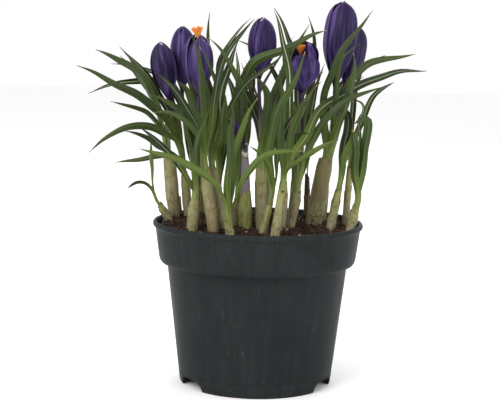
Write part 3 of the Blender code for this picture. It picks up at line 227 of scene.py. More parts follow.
# Blooms: shoot, foot of the cup, tip of the cup, widest radius, how far open, spathe top z, and
# the angle by which the cup is turned, in radians.
BLOOMS = {
    "bloom_1": ("B", (-52, 16, 159), (-59, 16, 194), 7.4, 0.05, 150, 0.4),
    "bloom_2": ("F", (-46, 27, 165), (-46, 28, 203), 7.8, 0.12, 146, 0.4),
    "bloom_3": ("E", (-35, 1, 163), (-36, 1, 199), 8.6, 0.30, 134, 0.4),
    "bloom_4": ("L", (-1, 2, 174), (1, 5, 209), 8.0, 0.08, 140, 1.0),
    "bloom_5": ("Q", (23, 3, 166), (22, 3, 196), 10.4, 0.75, 128, 0.4),
    "bloom_6": ("R", (43, 18, 169), (47, 21, 219), 9.8, 0.20, 148, 0.4),
    "bloom_7": ("V3", (50, 36, 167), (57, 39, 205), 7.8, 0.35, 140, 0.4),
    "bloom_8": ("K", (-9, -8, 137), (-16, -8, 151), 2.7, 0.80, 135, 0.4),
}
# Stigmas: bloom, how far the fan's top lies beyond the foot of the cup, fan radius.
STIGMAS = {
    "stigma_3": ("bloom_3", 39.5, 3.0),
    "stigma_4": ("bloom_4", 26.0, 1.6),
    "stigma_5": ("bloom_5", 28.0, 2.8),
    "stigma_7": ("bloom_7", 35.0, 1.8),
    "stigma_8": ("bloom_8", 17.0, 1.2),
}


# ---- lines shared with the CAD source ---------------------------------------------------------

def unit(v):
    v = np.asarray(v, float)
    return v / max(np.linalg.norm(v), 1e-9)


def side_axes(along):
    """Two directions square to a line's direction."""
    along = unit(along)
    first = np.cross(along, (0.0, 1.0, 0.0))
    if np.linalg.norm(first) < 0.1:
        first = np.cross(along, (1.0, 0.0, 0.0))
    first = unit(first)
    return first, np.cross(along, first)


def spline(points, start=None, samples=12):
    """A smooth curve through the points; start is the direction in which it leaves the first."""
    points = np.array(points, float)
    chords = np.linalg.norm(np.diff(points, axis=0), axis=1)
    slopes = np.zeros_like(points)
    for i in range(1, len(points) - 1):
        before, after = chords[i - 1], chords[i]
        slopes[i] = ((points[i] - points[i - 1]) / before * after
                     + (points[i + 1] - points[i]) / after * before) / (before + after)
    last = (points[-1] - points[-2]) / chords[-1]
    slopes[-1] = 1.5 * last - 0.5 * slopes[-2]
    slopes[0] = unit(start) if start is not None else 1.5 * (points[1] - points[0]) / chords[0] \
        - 0.5 * slopes[1]
    out = []
    for i, chord in enumerate(chords):
        for t in np.linspace(0.0, 1.0, samples, endpoint=False):
            a = 2 * t ** 3 - 3 * t ** 2 + 1
            b = t ** 3 - 2 * t ** 2 + t
            out.append(a * points[i] + b * chord * slopes[i]
                       + (1 - a) * points[i + 1] + (t ** 3 - t ** 2) * chord * slopes[i + 1])
    out.append(points[-1])
    return np.array(out)


def arc_lengths(line):
    """Distance of each point of a line from its first."""
    return np.concatenate([[0.0], np.cumsum(np.linalg.norm(np.diff(line, axis=0), axis=1))])


def even(points, count):
    """The curve's points again, count + 1 of them at equal distances."""
    along = arc_lengths(points)
    wanted = np.linspace(0.0, along[-1], count + 1)
    return np.stack([np.interp(wanted, along, points[:, k]) for k in range(3)], axis=1)


def pot_inner_radius(z):
    """Radius of the pot's inner wall at a height."""
    heights = (FLOOR_TOP, STEP_Z, BAND_LOW_Z, POT_HEIGHT - 3.0)
    radii = (FOOT_RADIUS + 0.9 - POT_WALL, STEP_RADIUS - POT_WALL, BAND_LOW_RADIUS - POT_WALL,
             BAND_TOP_RADIUS - POT_WALL)
    return float(np.interp(z, heights, radii))


def soil_height(x, y):
    """Height of the peat: level with the rim at the back and left, lower at the front right."""
    lean = 0.030 * y - 0.018 * x
    lumps = 0.7 * math.sin(0.21 * x + 1.0) * math.cos(0.17 * y) \
        + 0.5 * math.sin(0.47 * x + 0.39 * y)
    return SOIL_RIM_Z + 0.6 + max(-2.2, min(2.2, lean)) + lumps


def sheath_path(key):
    """Centre-line of a shoot from inside its corm to its mouth, and its radius at each point."""
    (x, y), mouth, foot_radius, mid_radius, mouth_radius = SHOOTS[key]
    corm_xy = next(centre for centre, shoots in CORMS.values() if key in shoots)
    foot = np.array((x, y, soil_height(x, y)))
    mouth = np.array(mouth, float)
    corm = np.array((*corm_xy, CORM_Z + 1.0), float)
    under = foot - 6.0 * unit(unit(mouth - foot) + np.array((0.0, 0.0, 1.0)))
    path = [corm, under, mouth]
    radii = [1.6, foot_radius * 0.95, mouth_radius]
    if abs(mid_radius - (foot_radius + mouth_radius) / 2) > 0.3:
        path.insert(2, foot + (mouth - foot) * 0.45)
        radii.insert(2, mid_radius)
    return np.array(path), radii


def mouth_frame(key):
    """Mouth centre and direction of a shoot."""
    path, _ = sheath_path(key)
    return path[-1], unit(path[-1] - path[-2])


def filler_points(key, count, rng):
    """Control points of the leaves that a tuft gets by rule, leaning away from the pot's axis."""
    mouth, _ = mouth_frame(key)
    outward = math.atan2(mouth[1], mouth[0])
    spread = min(1.0, math.hypot(mouth[0], mouth[1]) / 45.0)
    leaves = []
    for k in range(count):
        turn = (k + 0.5) * GOLDEN_ANGLE + rng.uniform(-0.3, 0.3)
        turn = math.atan2(math.sin(turn), math.cos(turn))
        heading = outward + turn * (1.0 - 0.55 * spread)
        reach = rng.uniform(10.0, 26.0) + 12.0 * spread
        rise = min(rng.uniform(52.0, 86.0), 198.0 - mouth[2])
        out = np.array((math.cos(heading), math.sin(heading), 0.0))
        width = rng.uniform(3.2, 4.4)
        middle = mouth + out * reach * 0.28 + np.array((0.0, 0.0, rise * 0.55))
        tip = mouth + out * reach + np.array((0.0, 0.0, rise))
        leaves.append((width, tuple(middle), tuple(tip)))
    return leaves


def plan_leaves():
    """Centre-lines of all leaves before they are bent clear of each other."""
    rng = random.Random(SEEDS["plan"])
    plans = []
    with_bloom = {row[0]: row[1] for row in BLOOMS.values()}
    for key in LEAVES:
        mouth, axis = mouth_frame(key)
        neck = SHOOTS[key][4] - SHEATH_WALL - GAP
        rows = list(LEAVES[key]) + filler_points(key, FILLERS[key], rng)
        headings = [math.atan2(row[-1][1] - mouth[1], row[-1][0] - mouth[0]) for row in rows]
        hollow = key in with_bloom
        if hollow:
            foot = with_bloom[key]
            headings.append(math.atan2(foot[1] - mouth[1], foot[0] - mouth[0]))
        headings = spread_headings(headings, hollow)
        offset = neck * (0.86 if hollow else 0.72) - BLADE_THICK / 2
        for row, heading in zip(rows, headings):
            a = unit(np.array((math.cos(heading), math.sin(heading), 0.0))
                     - axis * np.dot((math.cos(heading), math.sin(heading), 0.0), axis))
            root = mouth + a * offset
            start = root + axis * 3.0
            curve = spline([start] + [np.array(p, float) for p in row[1:]], axis)
            bends = int(round(arc_lengths(curve)[-1] / BEND_SPACING))
            bends = 7 if len(row) > 6 else max(3, min(5 if len(row) > 3 else 3, bends))
            line = np.vstack([root - axis * ROOT_SINK, even(curve, 2 * bends)])
            half_root = math.sqrt(max((0.84 * neck) ** 2 - (offset + BLADE_THICK / 2) ** 2, 0.2))
            turn, rise = rng.uniform(-0.6, 0.6), rng.uniform(0.1, 0.5)
            front = -math.pi / 2 if row[-1][1] < BACK_ROW else heading
            face = np.array((math.cos(front + turn), math.sin(front + turn), rise))
            plans.append({"shoot": key, "line": line, "width": row[0], "face": face,
                          "root_half": min(half_root, row[0] / 2), "heading": heading})
    return plans


def spread_headings(headings, last_is_stiff):
    """Turn headings round the mouth until no two are closer than their fair share."""
    turns = np.array(headings, float)
    free = np.ones(len(turns))
    free[-1] = 0.0 if last_is_stiff else 1.0
    order = np.argsort(turns)
    fair = min(math.radians(52.0), math.tau / len(turns) * 0.97)
    for _ in range(200):
        for place, i in enumerate(order):
            j = order[(place + 1) % len(order)]
            between = (turns[j] - turns[i]) % math.tau
            if i != j and between < fair:
                turns[i] -= (fair - between) / 2 * free[i]
                turns[j] += (fair - between) / 2 * free[j]
    return turns


def cup_ends(name):
    """Foot and tip of a bloom's cup, and the direction from one to the other."""
    foot, tip = (np.array(end, float) for end in BLOOMS[name][1:3])
    return foot, tip, unit(tip - foot)


def bloom_line(name):
    """Centre-line of a bloom's tube from the socket to the foot of the cup."""
    mouth, axis = mouth_frame(BLOOMS[name][0])
    foot, _, end = cup_ends(name)
    start = mouth + axis * 2.0
    straight = start + axis * min(9.0, 0.3 * np.linalg.norm(foot - start))
    curve = spline([start, straight, foot - end * 1.5], axis)
    return np.vstack([mouth - axis * (SOCKET_DEPTH - GAP), even(curve, 4)])


def cup_profile(name, share):
    """Radius of the cup at a share of its height."""
    _, _, _, widest, opened, _, _ = BLOOMS[name]
    closed = TUBE_RADIUS * 1.2 + (widest - TUBE_RADIUS * 1.2) \
        * math.sin(math.pi * min(1.0, share / 0.56) / 2) ** 1.25
    if share > 0.56:
        t = (share - 0.56) / 0.44
        closed_tip = widest * (1.0 - 0.80 * t ** 2.1)
        open_tip = widest * (1.0 + 0.10 * t)
        closed = closed_tip * (1.0 - opened) + open_tip * opened
    return closed


def obstacle_segments():
    """Everything that does not bend: sheaths, tubes, cups and the pot's rim, as thick segments."""
    rows = []
    for key in SHOOTS:
        path, radii = sheath_path(key)
        for i in range(1, len(path) - 1):
            rows.append((path[i], path[i + 1], radii[i], radii[i + 1], key, "sheath"))
    for name, (key, _, _, _, _, spathe, _) in BLOOMS.items():
        line = bloom_line(name)
        for a, b in zip(line[1:-1], line[2:]):
            radius = TUBE_RADIUS + (SPATHE_EXTRA if a[2] < spathe else 0.0)
            rows.append((a, b, radius, radius, key, "tube"))
        foot, tip, _ = cup_ends(name)
        shares = (0.0, 0.15, 0.35, 0.55, 0.75, 0.97)
        for s, t in zip(shares[:-1], shares[1:]):
            rows.append((foot + (tip - foot) * s, foot + (tip - foot) * t,
                         cup_profile(name, s), cup_profile(name, t), key, "cup"))
    for k in range(RIM_STRETCHES):
        turns = [math.tau * j / RIM_STRETCHES for j in (k, k + 1)]
        ends = [np.array((math.cos(turn), math.sin(turn), 0.0)) * (LIP_RADIUS - 1.0)
                + np.array((0.0, 0.0, POT_HEIGHT - 1.5)) for turn in turns]
        rows.append((ends[0], ends[1], RIM_THICK, RIM_THICK, "pot", "rim"))
    return rows


def closest(p1, q1, p2, q2):
    """Shares along two sets of segments where they are nearest, the way between, its length."""
    d1, d2, r = q1 - p1, q2 - p2, p1 - p2
    a = np.einsum("ij,ij->i", d1, d1)
    e = np.einsum("ij,ij->i", d2, d2)
    f = np.einsum("ij,ij->i", d2, r)
    c = np.einsum("ij,ij->i", d1, r)
    b = np.einsum("ij,ij->i", d1, d2)
    low = np.maximum(a * e - b * b, 1e-6)
    s = np.clip((b * f - c * e) / low, 0.0, 1.0)
    t = np.clip((b * s + f) / np.maximum(e, 1e-6), 0.0, 1.0)
    s = np.clip((b * t - c) / np.maximum(a, 1e-6), 0.0, 1.0)
    between = (p1 + d1 * s[:, None]) - (p2 + d2 * t[:, None])
    return s, t, between, np.linalg.norm(between, axis=1)


def relax(plans):
    """Bend the leaves clear of each other, mostly front to back, and of everything that is stiff."""
    fixed = obstacle_segments()
    sizes = [len(p["line"]) for p in plans]
    starts = np.concatenate([[0], np.cumsum(sizes)])
    points = np.vstack([p["line"] for p in plans])
    home = points.copy()
    mobile = np.ones(len(points))
    reach = np.zeros(len(points))
    for p, first in zip(plans, starts[:-1]):
        n = len(p["line"])
        steps = arc_lengths(p["line"])
        reach[first:first + n] = steps
        mobile[first:first + n] = np.clip((steps - ROOT_SINK - 3.0) / 8.0, 0.0, 1.0)
    leaf_of = np.concatenate([[i] * n for i, n in enumerate(sizes)])
    names = sorted(SHOOTS) + ["pot"]
    shoot_of_leaf = np.array([names.index(p["shoot"]) for p in plans])
    half = np.array([p["width"] / 2 for p in plans])
    seg = np.array([j for i, n in enumerate(sizes) for j in range(starts[i] + 1,
                                                                  starts[i] + n - 1)])
    seg_leaf = leaf_of[seg]
    grow = np.clip((reach[seg] - ROOT_SINK - 2.0) / 16.0, 0.0, 1.0)
    seg_radius = 0.5 + (half[seg_leaf] - 0.5) * grow
    seg_group = shoot_of_leaf[seg_leaf]
    fa = np.array([row[0] for row in fixed])
    fb = np.array([row[1] for row in fixed])
    fr = np.array([(row[2] + row[3]) / 2 for row in fixed])
    fgroup = np.array([names.index(row[4]) for row in fixed])
    fkind = np.array([row[5] == "sheath" for row in fixed])
    bias = np.array((0.45, 1.0, 0.45))        # leaves give way mostly front to back
    count = len(seg)
    upper_i, upper_j = np.triu_indices(count, 1)
    apart = seg_leaf[upper_i] != seg_leaf[upper_j]
    upper_i, upper_j = upper_i[apart], upper_j[apart]
    grid_i, grid_j = np.meshgrid(np.arange(count), np.arange(len(fixed)), indexing="ij")
    grid_i, grid_j = grid_i.ravel(), grid_j.ravel()
    own = (seg_group[grid_i] == fgroup[grid_j]) & fkind[grid_j]
    grid_i, grid_j = grid_i[~own], grid_j[~own]
    for turn in range(RELAX_ROUNDS):
        if turn % RELAX_LOOKS == 0:           # find anew which segments are near each other
            middle = (points[seg] + points[seg + 1]) / 2
            size = np.linalg.norm(points[seg + 1] - points[seg], axis=1) / 2
            near = np.linalg.norm(middle[upper_i] - middle[upper_j], axis=1) \
                < size[upper_i] + size[upper_j] + seg_radius[upper_i] + seg_radius[upper_j] + 4.0
            pair_i, pair_j = upper_i[near], upper_j[near]
            fmiddle, fsize = (fa + fb) / 2, np.linalg.norm(fb - fa, axis=1) / 2
            near = np.linalg.norm(middle[grid_i] - fmiddle[grid_j], axis=1) \
                < size[grid_i] + fsize[grid_j] + seg_radius[grid_i] + fr[grid_j] + 4.0
            wall_i, wall_j = grid_i[near], grid_j[near]
        push = np.zeros_like(points)
        weight = np.zeros(len(points))

        def shove(index, share, move):
            """Spread a move over both ends of each of the segments that are too near."""
            for end, part in ((0, (1.0 - share) * hit), (1, share * hit)):
                np.add.at(push, seg[index] + end, move * part[:, None])
                np.add.at(weight, seg[index] + end, part)

        i, j = pair_i, pair_j
        s, t, between, distance = closest(points[seg[i]], points[seg[i] + 1],
                                          points[seg[j]], points[seg[j] + 1])
        need = seg_radius[i] + seg_radius[j] + CLEARANCE
        fan = np.minimum(grow[i], grow[j])
        need = np.where(seg_group[i] == seg_group[j], need * fan ** 0.7, need)
        lack = need - distance
        hit = lack > 0
        way = between * bias
        way[:, 1] += np.where(np.abs(way[:, 1]) < 0.15,
                              np.where(seg_leaf[i] > seg_leaf[j], 0.3, -0.3), 0.0)
        way /= np.maximum(np.linalg.norm(way, axis=1), 1e-6)[:, None]
        move = way * (lack * 0.5)[:, None]
        shove(i, s, move)
        shove(j, t, -move)
        i, j = wall_i, wall_j
        s, t, between, distance = closest(points[seg[i]], points[seg[i] + 1], fa[j], fb[j])
        own = seg_group[i] == fgroup[j]
        need = seg_radius[i] + fr[j] + CLEARANCE
        need = np.where(own, need - (CLEARANCE - 0.1) * (1.0 - grow[i]), need)
        lack = need - distance
        hit = lack > 0
        way = between * np.where(own[:, None], 1.0, bias)
        way /= np.maximum(np.linalg.norm(way, axis=1), 1e-6)[:, None]
        shove(i, s, way * (lack * 2.0)[:, None])
        points += push / np.maximum(weight, 1.0)[:, None] * mobile[:, None] * 0.9
        if turn < RELAX_ROUNDS - RELAX_LAST:  # ease the bends, but not in the last rounds
            shift = points - home
            for first, n in zip(starts, sizes):
                part = shift[first:first + n]
                part[1:-1] = 0.5 * part[1:-1] + 0.25 * (part[:-2] + part[2:])
                part[-1] = 0.5 * part[-1] + 0.5 * part[-2]
                part[:2] = 0.0
            points = home + shift * 0.995
    return [points[first:first + n] for first, n in zip(starts, sizes)]


# ---- mesh helpers --------------------------------------------------------------------------

# Edges that fold by more than this many degrees stay sharp.
SHARP_DEG = 60.0
POT_SHARP_DEG = 35.0
SWEPT_SHARP_DEG = 70.0    # on what the node trees make
THIN_SHARP_DEG = 75.0     # on sheaths, spathes and stigmas
SOFT_SHARP_DEG = 80.0     # on tepals and the soil


def new_object(name, data):
    """An object in the scene with its mesh, light or camera."""
    item = bpy.data.objects.new(name, data)
    bpy.context.scene.collection.objects.link(item)
    return item


def raw_mesh(name, points, edges, faces):
    """A mesh from points in millimetres."""
    mesh = bpy.data.meshes.new(name)
    mesh.from_pydata((np.asarray(points, float) * MM).tolist(), edges, faces)
    return mesh


def add_floats(mesh, floats):
    """Put named values on the points of a mesh."""
    for key, values in (floats or {}).items():
        layer = mesh.attributes.new(key, "FLOAT", "POINT")
        layer.data.foreach_set("value", np.asarray(values, np.float32))


def smoothed(mesh, sharp_deg):
    """Shade a mesh smooth, with edges over an angle kept sharp."""
    mesh.shade_smooth()
    mesh.set_sharp_from_angle(angle=math.radians(sharp_deg))


def mesh_piece(name, points, faces, material, floats=None, sharp_deg=SHARP_DEG):
    """A mesh object from points in millimetres, with named float attributes on its points."""
    mesh = raw_mesh(name, points, [], faces)
    mesh.validate()
    add_floats(mesh, floats)
    item = new_object(name, mesh)
    mesh.materials.append(material)
    smoothed(mesh, sharp_deg)
    return item


def grid_faces(first, rows, columns, closed):
    """Quads of a grid of points numbered from first, closed round or open across."""
    faces = []
    for r in range(rows - 1):
        for c in range(columns if closed else columns - 1):
            d = (c + 1) % columns
            low, high = first + r * columns, first + (r + 1) * columns
            faces.append((low + c, low + d, high + d, high + c))
    return faces


def tube_faces(rows, sides):
    """Faces of a row of rings closed by two flat ends."""
    return grid_faces(0, rows, sides, True) + [
        tuple(reversed(range(sides))), tuple(range((rows - 1) * sides, rows * sides))]


def fan_faces(rows, sides, first_middle, last_middle, start=0):
    """Faces of a row of rings closed by fans round two middle points, given by number."""
    faces = grid_faces(start, rows, sides, True)
    last = start + (rows - 1) * sides
    for k in range(sides):
        after = (k + 1) % sides
        faces.append((first_middle, start + after, start + k))
        faces.append((last + k, last + after, last_middle))
    return faces


def sheet_faces(rows, columns):
    """Faces of two like sheets of points, the second turned over, that meet at their rim."""
    wide = columns + 1
    n = (rows + 1) * wide
    face_up = grid_faces(0, rows + 1, wide, False)
    face_down = [tuple(n + i for i in reversed(face)) for face in face_up]
    rim = list(range(wide)) + [r * wide + wide - 1 for r in range(1, rows + 1)]
    rim += [rows * wide + c for c in reversed(range(wide - 1))]
    rim += [r * wide for r in reversed(range(1, rows))]
    return face_up + face_down + [(q, p, n + p, n + q) for p, q in zip(rim, rim[1:] + rim[:1])]


def ring(centre, radius, first, second, sides):
    """Points of a circle round a centre, in the plane of two directions."""
    return [centre + radius * (math.cos(math.tau * k / sides) * first
                               + math.sin(math.tau * k / sides) * second)
            for k in range(sides)]


def gather(parts):
    """Join (points, faces, floats) parts into one of each."""
    points, faces, floats = [], [], {}
    first = 0
    for part_points, part_faces, part_floats in parts:
        points.append(np.asarray(part_points, float))
        faces += [tuple(first + i for i in face) for face in part_faces]
        for key, values in part_floats.items():
            floats.setdefault(key, []).append(np.asarray(values, float))
        first += len(part_points)
    return np.vstack(points), faces, {key: np.concatenate(v) for key, v in floats.items()}


def rounded(line, rounds=2):
    """The line with its corners eased, both ends kept."""
    line = np.array(line, float)
    for _ in range(rounds):
        line[1:-1] = 0.25 * line[:-2] + 0.5 * line[1:-1] + 0.25 * line[2:]
    return line


def travelling_axes(line):
    """Directions along a line and two that stay square to it without spinning."""
    tangents = np.gradient(line, axis=0)
    tangents /= np.linalg.norm(tangents, axis=1)[:, None]
    first, _ = side_axes(tangents[0])
    firsts, seconds = [], []
    for tangent in tangents:
        first = unit(first - tangent * np.dot(first, tangent))
        firsts.append(first)
        seconds.append(np.cross(tangent, first))
    return tangents, np.array(firsts), np.array(seconds)


def tube_along(line, radii, sides):
    """Points of a plain tube, with a ring round each point of a line."""
    _, firsts, seconds = travelling_axes(line)
    rings = zip(line, radii, firsts, seconds)
    return [point for row in rings for point in ring(*row, sides)]


def remove_helpers(*items):
    for item in items:
        bpy.data.objects.remove(item, do_unlink=True)


def settle(item, slot, *nodes):
    """Finish a piece: it rides on the root and stands for its nodes; its slot is not used."""
    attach(item, "root")
    if nodes:
        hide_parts(*nodes)


# ---- material helpers ----------------------------------------------------------------------

def scaled(colour, factor):
    return tuple(factor * c for c in colour)


class Finish:
    """A node material under construction: small calls that add one node each."""

    def __init__(self, name, roughness, sheen=0.0, subsurface=0.0, gloss=0.5):
        self.material = bpy.data.materials.new(name)
        self.material.use_nodes = True
        self.tree = self.material.node_tree
        self.shader = self.tree.nodes["Principled BSDF"]
        self.base = None
        for key, value in (("Roughness", roughness), ("Specular IOR Level", gloss),
                           ("Sheen Weight", sheen), ("Subsurface Weight", subsurface),
                           ("Subsurface Scale", 0.002)):
            self.shader.inputs[key].default_value = value

    def add(self, kind, **settings):
        node = self.tree.nodes.new(kind)
        for key, value in settings.items():
            setattr(node, key, value)
        return node

    def join(self, value, socket):
        """Link a socket, or set a plain value."""
        if isinstance(value, bpy.types.NodeSocket):
            self.tree.links.new(value, socket)
        elif isinstance(value, tuple) and len(value) == 3 and socket.type == "RGBA":
            socket.default_value = (*value, 1.0)
        else:
            socket.default_value = value

    def place(self, scale=(1.0, 1.0, 1.0)):
        """Object coordinates in metres, stretched."""
        coords = self.add("ShaderNodeTexCoord")
        mapping = self.add("ShaderNodeMapping")
        mapping.inputs["Scale"].default_value = scale
        self.join(coords.outputs["Object"], mapping.inputs["Vector"])
        return mapping.outputs["Vector"]

    def attributes(self, *names):
        """The named values that the mesh carries on its points."""
        return [self.add("ShaderNodeAttribute", attribute_name=name).outputs["Fac"]
                for name in names]

    def math(self, operation, a, b=0.0, clamp=False):
        node = self.add("ShaderNodeMath", operation=operation, use_clamp=clamp)
        self.join(a, node.inputs[0])
        self.join(b, node.inputs[1])
        return node.outputs["Value"]

    def times(self, a, b, clamp=False):
        return self.math("MULTIPLY", a, b, clamp)

    def noise(self, where, scale, detail=4.0, roughness=0.55):
        node = self.add("ShaderNodeTexNoise")
        self.join(where, node.inputs["Vector"])
        node.inputs["Scale"].default_value = scale
        node.inputs["Detail"].default_value = detail
        node.inputs["Roughness"].default_value = roughness
        return node.outputs["Fac"]

    def streaks(self, across, along, seed, detail=3.0, roughness=0.55, scale=1.0):
        """Noise over a surface, each direction given as a value and how fast it changes."""
        node = self.add("ShaderNodeCombineXYZ")
        for value, socket in zip((self.times(*across), self.times(*along), seed), node.inputs):
            self.join(value, socket)
        return self.noise(node.outputs["Vector"], scale, detail, roughness)

    def ramp(self, value, low, high, to_low=0.0, to_high=1.0):
        """Value carried smoothly from one range to another and held at both ends."""
        node = self.add("ShaderNodeMapRange", interpolation_type="SMOOTHSTEP")
        self.join(value, node.inputs["Value"])
        for key, number in (("From Min", low), ("From Max", high), ("To Min", to_low),
                            ("To Max", to_high)):
            node.inputs[key].default_value = number
        return node.outputs["Result"]

    def mix(self, share, a, b):
        node = self.add("ShaderNodeMix", data_type="RGBA")
        self.join(share, node.inputs["Factor"])
        self.join(a, node.inputs[6])
        self.join(b, node.inputs[7])
        return node.outputs[2]

    def undercoat(self, share, first, second):
        """Start the base colour as a blend of two."""
        self.base = self.mix(share, tuple(first), tuple(second))

    def coat(self, share, colour):
        """Lay a colour over the base, by a share from 0 to 1."""
        self.base = self.mix(share, self.base, tuple(colour))

    def done(self, relief, distance, strength):
        """Give the shader its base colour and relief, and hand over the material."""
        self.join(self.base, self.shader.inputs["Base Color"])
        node = self.add("ShaderNodeBump")
        self.join(relief, node.inputs["Height"])
        node.inputs["Distance"].default_value = distance
        node.inputs["Strength"].default_value = strength
        self.join(node.outputs["Normal"], self.shader.inputs["Normal"])
        return self.material


def pot_finish(look):
    """Matt moulded plastic with fine upright streaks, and dust near the lip and the foot."""
    made = Finish("pot_plastic_finish", 0.42, gloss=0.15)
    made.shader.inputs["IOR"].default_value = 1.2
    where = made.place()
    streaks = made.noise(made.place((260.0, 260.0, 9.0)), 1.0, 3.0)
    grain = made.noise(where, 1700.0, 2.0)
    clouds = made.noise(where, 28.0, 4.0)
    dusty = made.ramp(made.noise(where, 420.0, 5.0, 0.7), 0.60, 0.74)
    height = made.add("ShaderNodeSeparateXYZ")
    made.join(where, height.inputs["Vector"])
    near_lip = made.ramp(height.outputs["Z"], 0.060, 0.093, 0.10, 0.75)
    near_foot = made.ramp(height.outputs["Z"], 0.0, 0.022, 0.55, 0.0)
    dust = made.times(dusty, made.math("ADD", near_lip, near_foot), True)
    made.undercoat(made.ramp(streaks, 0.35, 0.70), look.pot_colour, scaled(look.pot_colour, 1.22))
    made.coat(made.ramp(clouds, 0.40, 0.75, 0.0, 0.55), scaled(look.pot_colour, 0.72))
    scratch = made.ramp(made.noise(made.place((900.0, 900.0, 30.0)), 1.0, 2.0), 0.66, 0.74)
    made.coat(made.times(scratch, 0.22), (0.09, 0.10, 0.10))
    made.coat(made.times(dust, 0.75), (0.085, 0.060, 0.042))
    rough = made.ramp(streaks, 0.30, 0.75, 0.36, 0.50)
    made.join(made.math("ADD", rough, made.times(dust, 0.35), True),
              made.shader.inputs["Roughness"])
    return made.done(made.math("ADD", made.times(grain, 0.5), streaks), 0.00008, 0.35)


def soil_finish(look):
    """Crumbly peat, its toned crumbs redder and a few of them pale."""
    made = Finish("soil_finish", 0.95, gloss=0.15)
    where = made.place()
    coarse = made.noise(where, 160.0, 6.0, 0.65)
    fine = made.noise(where, 900.0, 4.0, 0.7)
    tone, = made.attributes("tone")
    made.undercoat(made.ramp(coarse, 0.35, 0.68), look.soil_dark, look.soil_light)
    made.coat(made.ramp(fine, 0.55, 0.75, 0.0, 0.6), (0.095, 0.050, 0.028))
    made.coat(made.ramp(tone, 0.70, 0.90, 0.0, 0.8), (0.110, 0.050, 0.028))
    made.coat(made.ramp(tone, 0.965, 0.975), (0.42, 0.38, 0.31))
    return made.done(made.math("ADD", coarse, made.times(fine, 0.4)), 0.0012, 0.8)


def sheath_finish(look):
    """Ribbed papery sheath: cream, greener upwards, with brown stains, seam and torn edge, and
    painted shade on shoots in shadow and near the soil.
    """
    made = Finish("sheath_finish", 0.50, subsurface=0.10, gloss=0.35)
    along, turn, brown, green, edge, tone, fresh_and_lit, lilac = made.attributes(
        "along", "turn", "brown", "green", "edge", "tone", "fresh_and_lit", "lilac")
    ribs = made.streaks((turn, 34.0), (along, 1.3), tone)
    blotch = made.streaks((turn, 5.0), (along, 4.0), tone, 4.0, scale=1.6)
    # Painted shade: shoots low in freshness and light are darkened towards 0.38 of the sheath
    # colour.
    made.undercoat(fresh_and_lit, scaled(look.sheath_colour, 0.38), look.sheath_colour)
    made.coat(made.ramp(ribs, 0.30, 0.60, 0.60, 0.0),
              tuple(c * f for c, f in zip(look.sheath_colour, (0.50, 0.46, 0.30))))
    made.coat(made.ramp(turn, 0.0, 0.05, 0.55, 0.0), (0.13, 0.085, 0.035))
    greening = made.times(made.ramp(along, 0.50, 1.0, 0.0, 0.75),
                          made.math("ADD", made.times(fresh_and_lit, 0.8), 0.2))
    made.coat(greening, (0.22, 0.26, 0.065))
    made.coat(made.times(green, made.ramp(blotch, 0.25, 0.65, 0.45, 0.95)), (0.20, 0.25, 0.045))
    stain = made.times(made.ramp(blotch, 0.45, 0.64), made.ramp(ribs, 0.2, 0.7, 0.5))
    made.coat(made.math("MAXIMUM", made.times(stain, 0.88), brown), (0.150, 0.090, 0.032))
    # Darker brown at the foot: partly brown stains, partly painted shade near the soil.
    low = made.ramp(along, 0.0, 0.30, 0.55, 0.0)
    made.coat(made.times(low, made.ramp(blotch, 0.35, 0.60, 0.3, 1.0)), (0.13, 0.070, 0.030))
    made.coat(made.times(lilac, made.ramp(along, 0.35, 0.60)), (0.17, 0.145, 0.165))
    made.coat(made.times(made.ramp(edge, 0.35, 1.0), made.ramp(blotch, 0.40, 0.65, 0.20, 0.90)),
              (0.16, 0.075, 0.026))
    made.coat(made.ramp(brown, 0.80, 0.98, 0.0, 0.85), (0.055, 0.026, 0.013))
    return made.done(ribs, 0.0005, 0.55)


def leaf_finish(look):
    """Dark green blade with fine veins, a pale middle stripe above and a yellow-green foot."""
    made = Finish("leaf_finish", 0.42, subsurface=0.04, gloss=0.20)
    along, across, upper, tone, young = made.attributes("along", "across", "upper", "tone",
                                                        "young")
    veins = made.streaks((across, 9.0), (along, 2.2), made.times(tone, 40.0))
    patch = made.noise(made.place(), 70.0, 3.0)
    made.undercoat(made.ramp(veins, 0.30, 0.70), look.leaf_dark, look.leaf_mid)
    made.coat(made.times(made.ramp(tone, 0.30, 1.0), 0.55), look.leaf_light)
    made.coat(made.ramp(patch, 0.48, 0.75, 0.0, 0.45), look.leaf_light)
    pale_low = made.ramp(along, 0.10, 0.50, 0.95, 0.0)
    made.coat(made.math("MAXIMUM", pale_low, young), (0.098, 0.145, 0.016))
    made.coat(made.ramp(along, 0.0, 0.20, 0.85, 0.0), (0.25, 0.29, 0.085))
    made.coat(made.ramp(upper, 0.45, 0.55, 0.35, 0.0), (0.060, 0.100, 0.026))
    distance = made.math("ABSOLUTE", across)
    fade = made.times(made.ramp(along, 0.02, 0.14), made.ramp(along, 0.86, 0.98, 1.0, 0.0))
    stripe = made.times(made.times(made.ramp(distance, 0.08, 0.19, 1.0, 0.0), fade),
                        made.ramp(upper, 0.45, 0.55, 0.10, 0.9))
    made.coat(made.times(stripe, made.ramp(tone, 0.15, 0.95, 0.30, 0.95)), look.leaf_stripe)
    made.coat(made.ramp(distance, 0.90, 1.0, 0.0, 0.30), (0.11, 0.15, 0.045))
    dry = made.times(made.ramp(along, 0.96, 0.995), made.ramp(tone, 0.70, 0.85))
    made.coat(dry, (0.42, 0.29, 0.12))
    made.join(made.ramp(veins, 0.2, 0.8, 0.30, 0.48), made.shader.inputs["Roughness"])
    return made.done(veins, 0.0003, 0.45)


